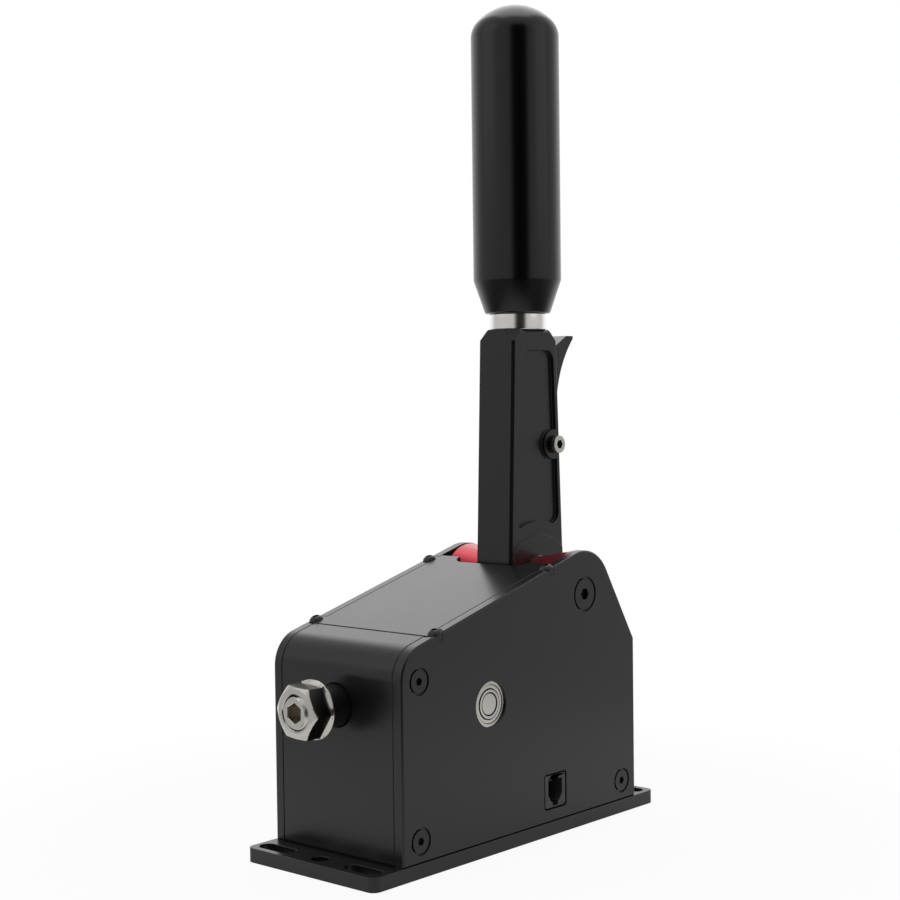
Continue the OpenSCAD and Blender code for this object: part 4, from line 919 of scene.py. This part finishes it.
class PULL_LEVER_OT_bearings(bpy.types.Operator):
    """Round the rings, shields, pins and spacers of the bearings, with painted shade along the edges of the rings,
    shields and pins
    """

    bl_idname = "pull_lever.bearings"
    bl_label = "Bearings and spacers"

    def execute(self, context):
        shape = context.scene.pull_lever_shape
        # Each piece's rounding as a multiple of the screws'.
        # The rings', shields' and pins' rounded edges get painted shade, which draws dark grooves between them.
        for node, factor in (("side_bearing_outer_rings", 1.0), ("side_bearing_inner_rings", 1.7),
                             ("side_bearing_shields", 1.2), ("trunnion_pins", 3.0)):
            rounded_copy(node, factor * shape.screw_edge, "bearing_steel", "dark_steel", segments=2)
        for node in ("left_pivot_spacer", "right_pivot_spacer"):
            rounded_copy(node, shape.spacer_edge, "red_anodised")
        return {"FINISHED"}


class PULL_LEVER_OT_jack(bpy.types.Operator):
    """Round the data jack and plate its contacts"""

    bl_idname = "pull_lever.jack"
    bl_label = "Data jack"

    def execute(self, context):
        shape = context.scene.pull_lever_shape
        rounded_copy("data_jack", shape.jack_edge, "black_plastic")
        rounded_copy("jack_contacts", shape.contact_edge, "gold_contacts", segments=2)
        return {"FINISHED"}


class PULL_LEVER_OT_springs(bpy.types.Operator):
    """Wind the return spring and the trigger's spring"""

    bl_idname = "pull_lever.springs"
    bl_label = "Springs"

    def execute(self, context):
        shape = context.scene.pull_lever_shape
        swing = Vector(JOINTS["trunnion_swing"]["pos_m"])
        rod = Vector(JOINTS["rod_pull"]["axis"]).normalized()
        self.wind("return_spring", swing, rod, shape.spring_wire, shape.spring_turns, "rod_pull",
                  JOINTS["rod_pull"]["range_m"][1])
        low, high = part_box("trigger_spring")
        middle = (low + high) / 2
        arm = middle.z - JOINTS["trigger_squeeze"]["pos_m"][2]
        travel = arm * math.tan(math.radians(JOINTS["trigger_squeeze"]["range_deg"][1]))
        self.wind("trigger_spring", Vector((low.x, middle.y, middle.z)), Vector((-1.0, 0.0, 0.0)),
                  shape.trigger_spring_wire, shape.trigger_spring_turns, "trigger_squeeze", travel)
        return {"FINISHED"}

    def wind(self, node, origin, axis, wire, turns, joint, travel):
        """Wire wound where the CAD coil is, on a mesh of its own."""
        offset = node_points(node) - np.array(origin)
        along = offset @ np.array(axis)
        out = np.linalg.norm(offset - along[:, None] * np.array(axis), axis=1)
        first, last = along.min() + wire / 2, along.max() - wire / 2
        start = np.array(origin) + first * np.array(axis)
        end = np.array(origin) + last * np.array(axis)
        mesh = coil_mesh(node + "_wound", start, end, out.max() - wire / 2, wire, turns)
        piece = add_piece(node + "_wound", mesh, node, "bright_steel")
        keep = 1 - travel / (along.max() - along.min())
        tuple(end + wire / 2 * np.array(axis))
        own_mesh(piece)


class PULL_LEVER_OT_inside(bpy.types.Operator):
    """Give the CAD nodes that no piece replaces, most of them inside the housing, their finishes"""

    bl_idname = "pull_lever.inside"
    bl_label = "Inside"

    def execute(self, context):
        for node, piece in frame["nodes"].items():
            if not piece.hide_render:
                piece.data.materials.clear()
                piece.data.materials.append(FINISHES[SLOT_OF[node]])
        return {"FINISHED"}


PIECES = (PULL_LEVER_OT_housing, PULL_LEVER_OT_lever, PULL_LEVER_OT_grip, PULL_LEVER_OT_adjuster,
          PULL_LEVER_OT_fasteners, PULL_LEVER_OT_bearings, PULL_LEVER_OT_jack, PULL_LEVER_OT_springs,
          PULL_LEVER_OT_inside)


class PULL_LEVER_PT_panel(bpy.types.Panel):
    """Lists the studio, the pieces and their settings"""

    bl_idname = "PULL_LEVER_PT_panel"
    bl_label = "Pull lever"
    bl_space_type = "VIEW_3D"
    bl_region_type = "UI"
    bl_category = "Pull lever"

    def draw(self, context):
        for operator in (PULL_LEVER_OT_stage, *PIECES):
            self.layout.operator(operator.bl_idname)
        for name, group in GROUPS.items():
            box = self.layout.box()
            for setting in group.__annotations__:
                box.prop(getattr(context.scene, name), setting)


CLASSES = (StudioSettings, FinishSettings, ShapeSettings, PULL_LEVER_OT_stage, *PIECES, PULL_LEVER_PT_panel)
GROUPS = {
    "pull_lever_studio": StudioSettings,
    "pull_lever_finish": FinishSettings,
    "pull_lever_shape": ShapeSettings,
}


def register():
    """Registers the classes and puts the settings on the scene."""
    for cls in CLASSES:
        bpy.utils.register_class(cls)
    for name, group in GROUPS.items():
        setattr(bpy.types.Scene, name, PointerProperty(type=group))


def unregister():
    """Takes the settings off the scene and unregisters the classes."""
    for name in GROUPS:
        delattr(bpy.types.Scene, name)
    for cls in reversed(CLASSES):
        bpy.utils.unregister_class(cls)


def main():
    """Registers the add-on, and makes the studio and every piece."""
    register()
    make_finishes()
    bpy.ops.pull_lever.stage()
    bpy.ops.pull_lever.housing()
    bpy.ops.pull_lever.lever()
    bpy.ops.pull_lever.grip()
    bpy.ops.pull_lever.adjuster()
    bpy.ops.pull_lever.fasteners()
    bpy.ops.pull_lever.bearings()
    bpy.ops.pull_lever.jack()
    bpy.ops.pull_lever.springs()
    bpy.ops.pull_lever.inside()


if __name__ == "__main__":
    main()
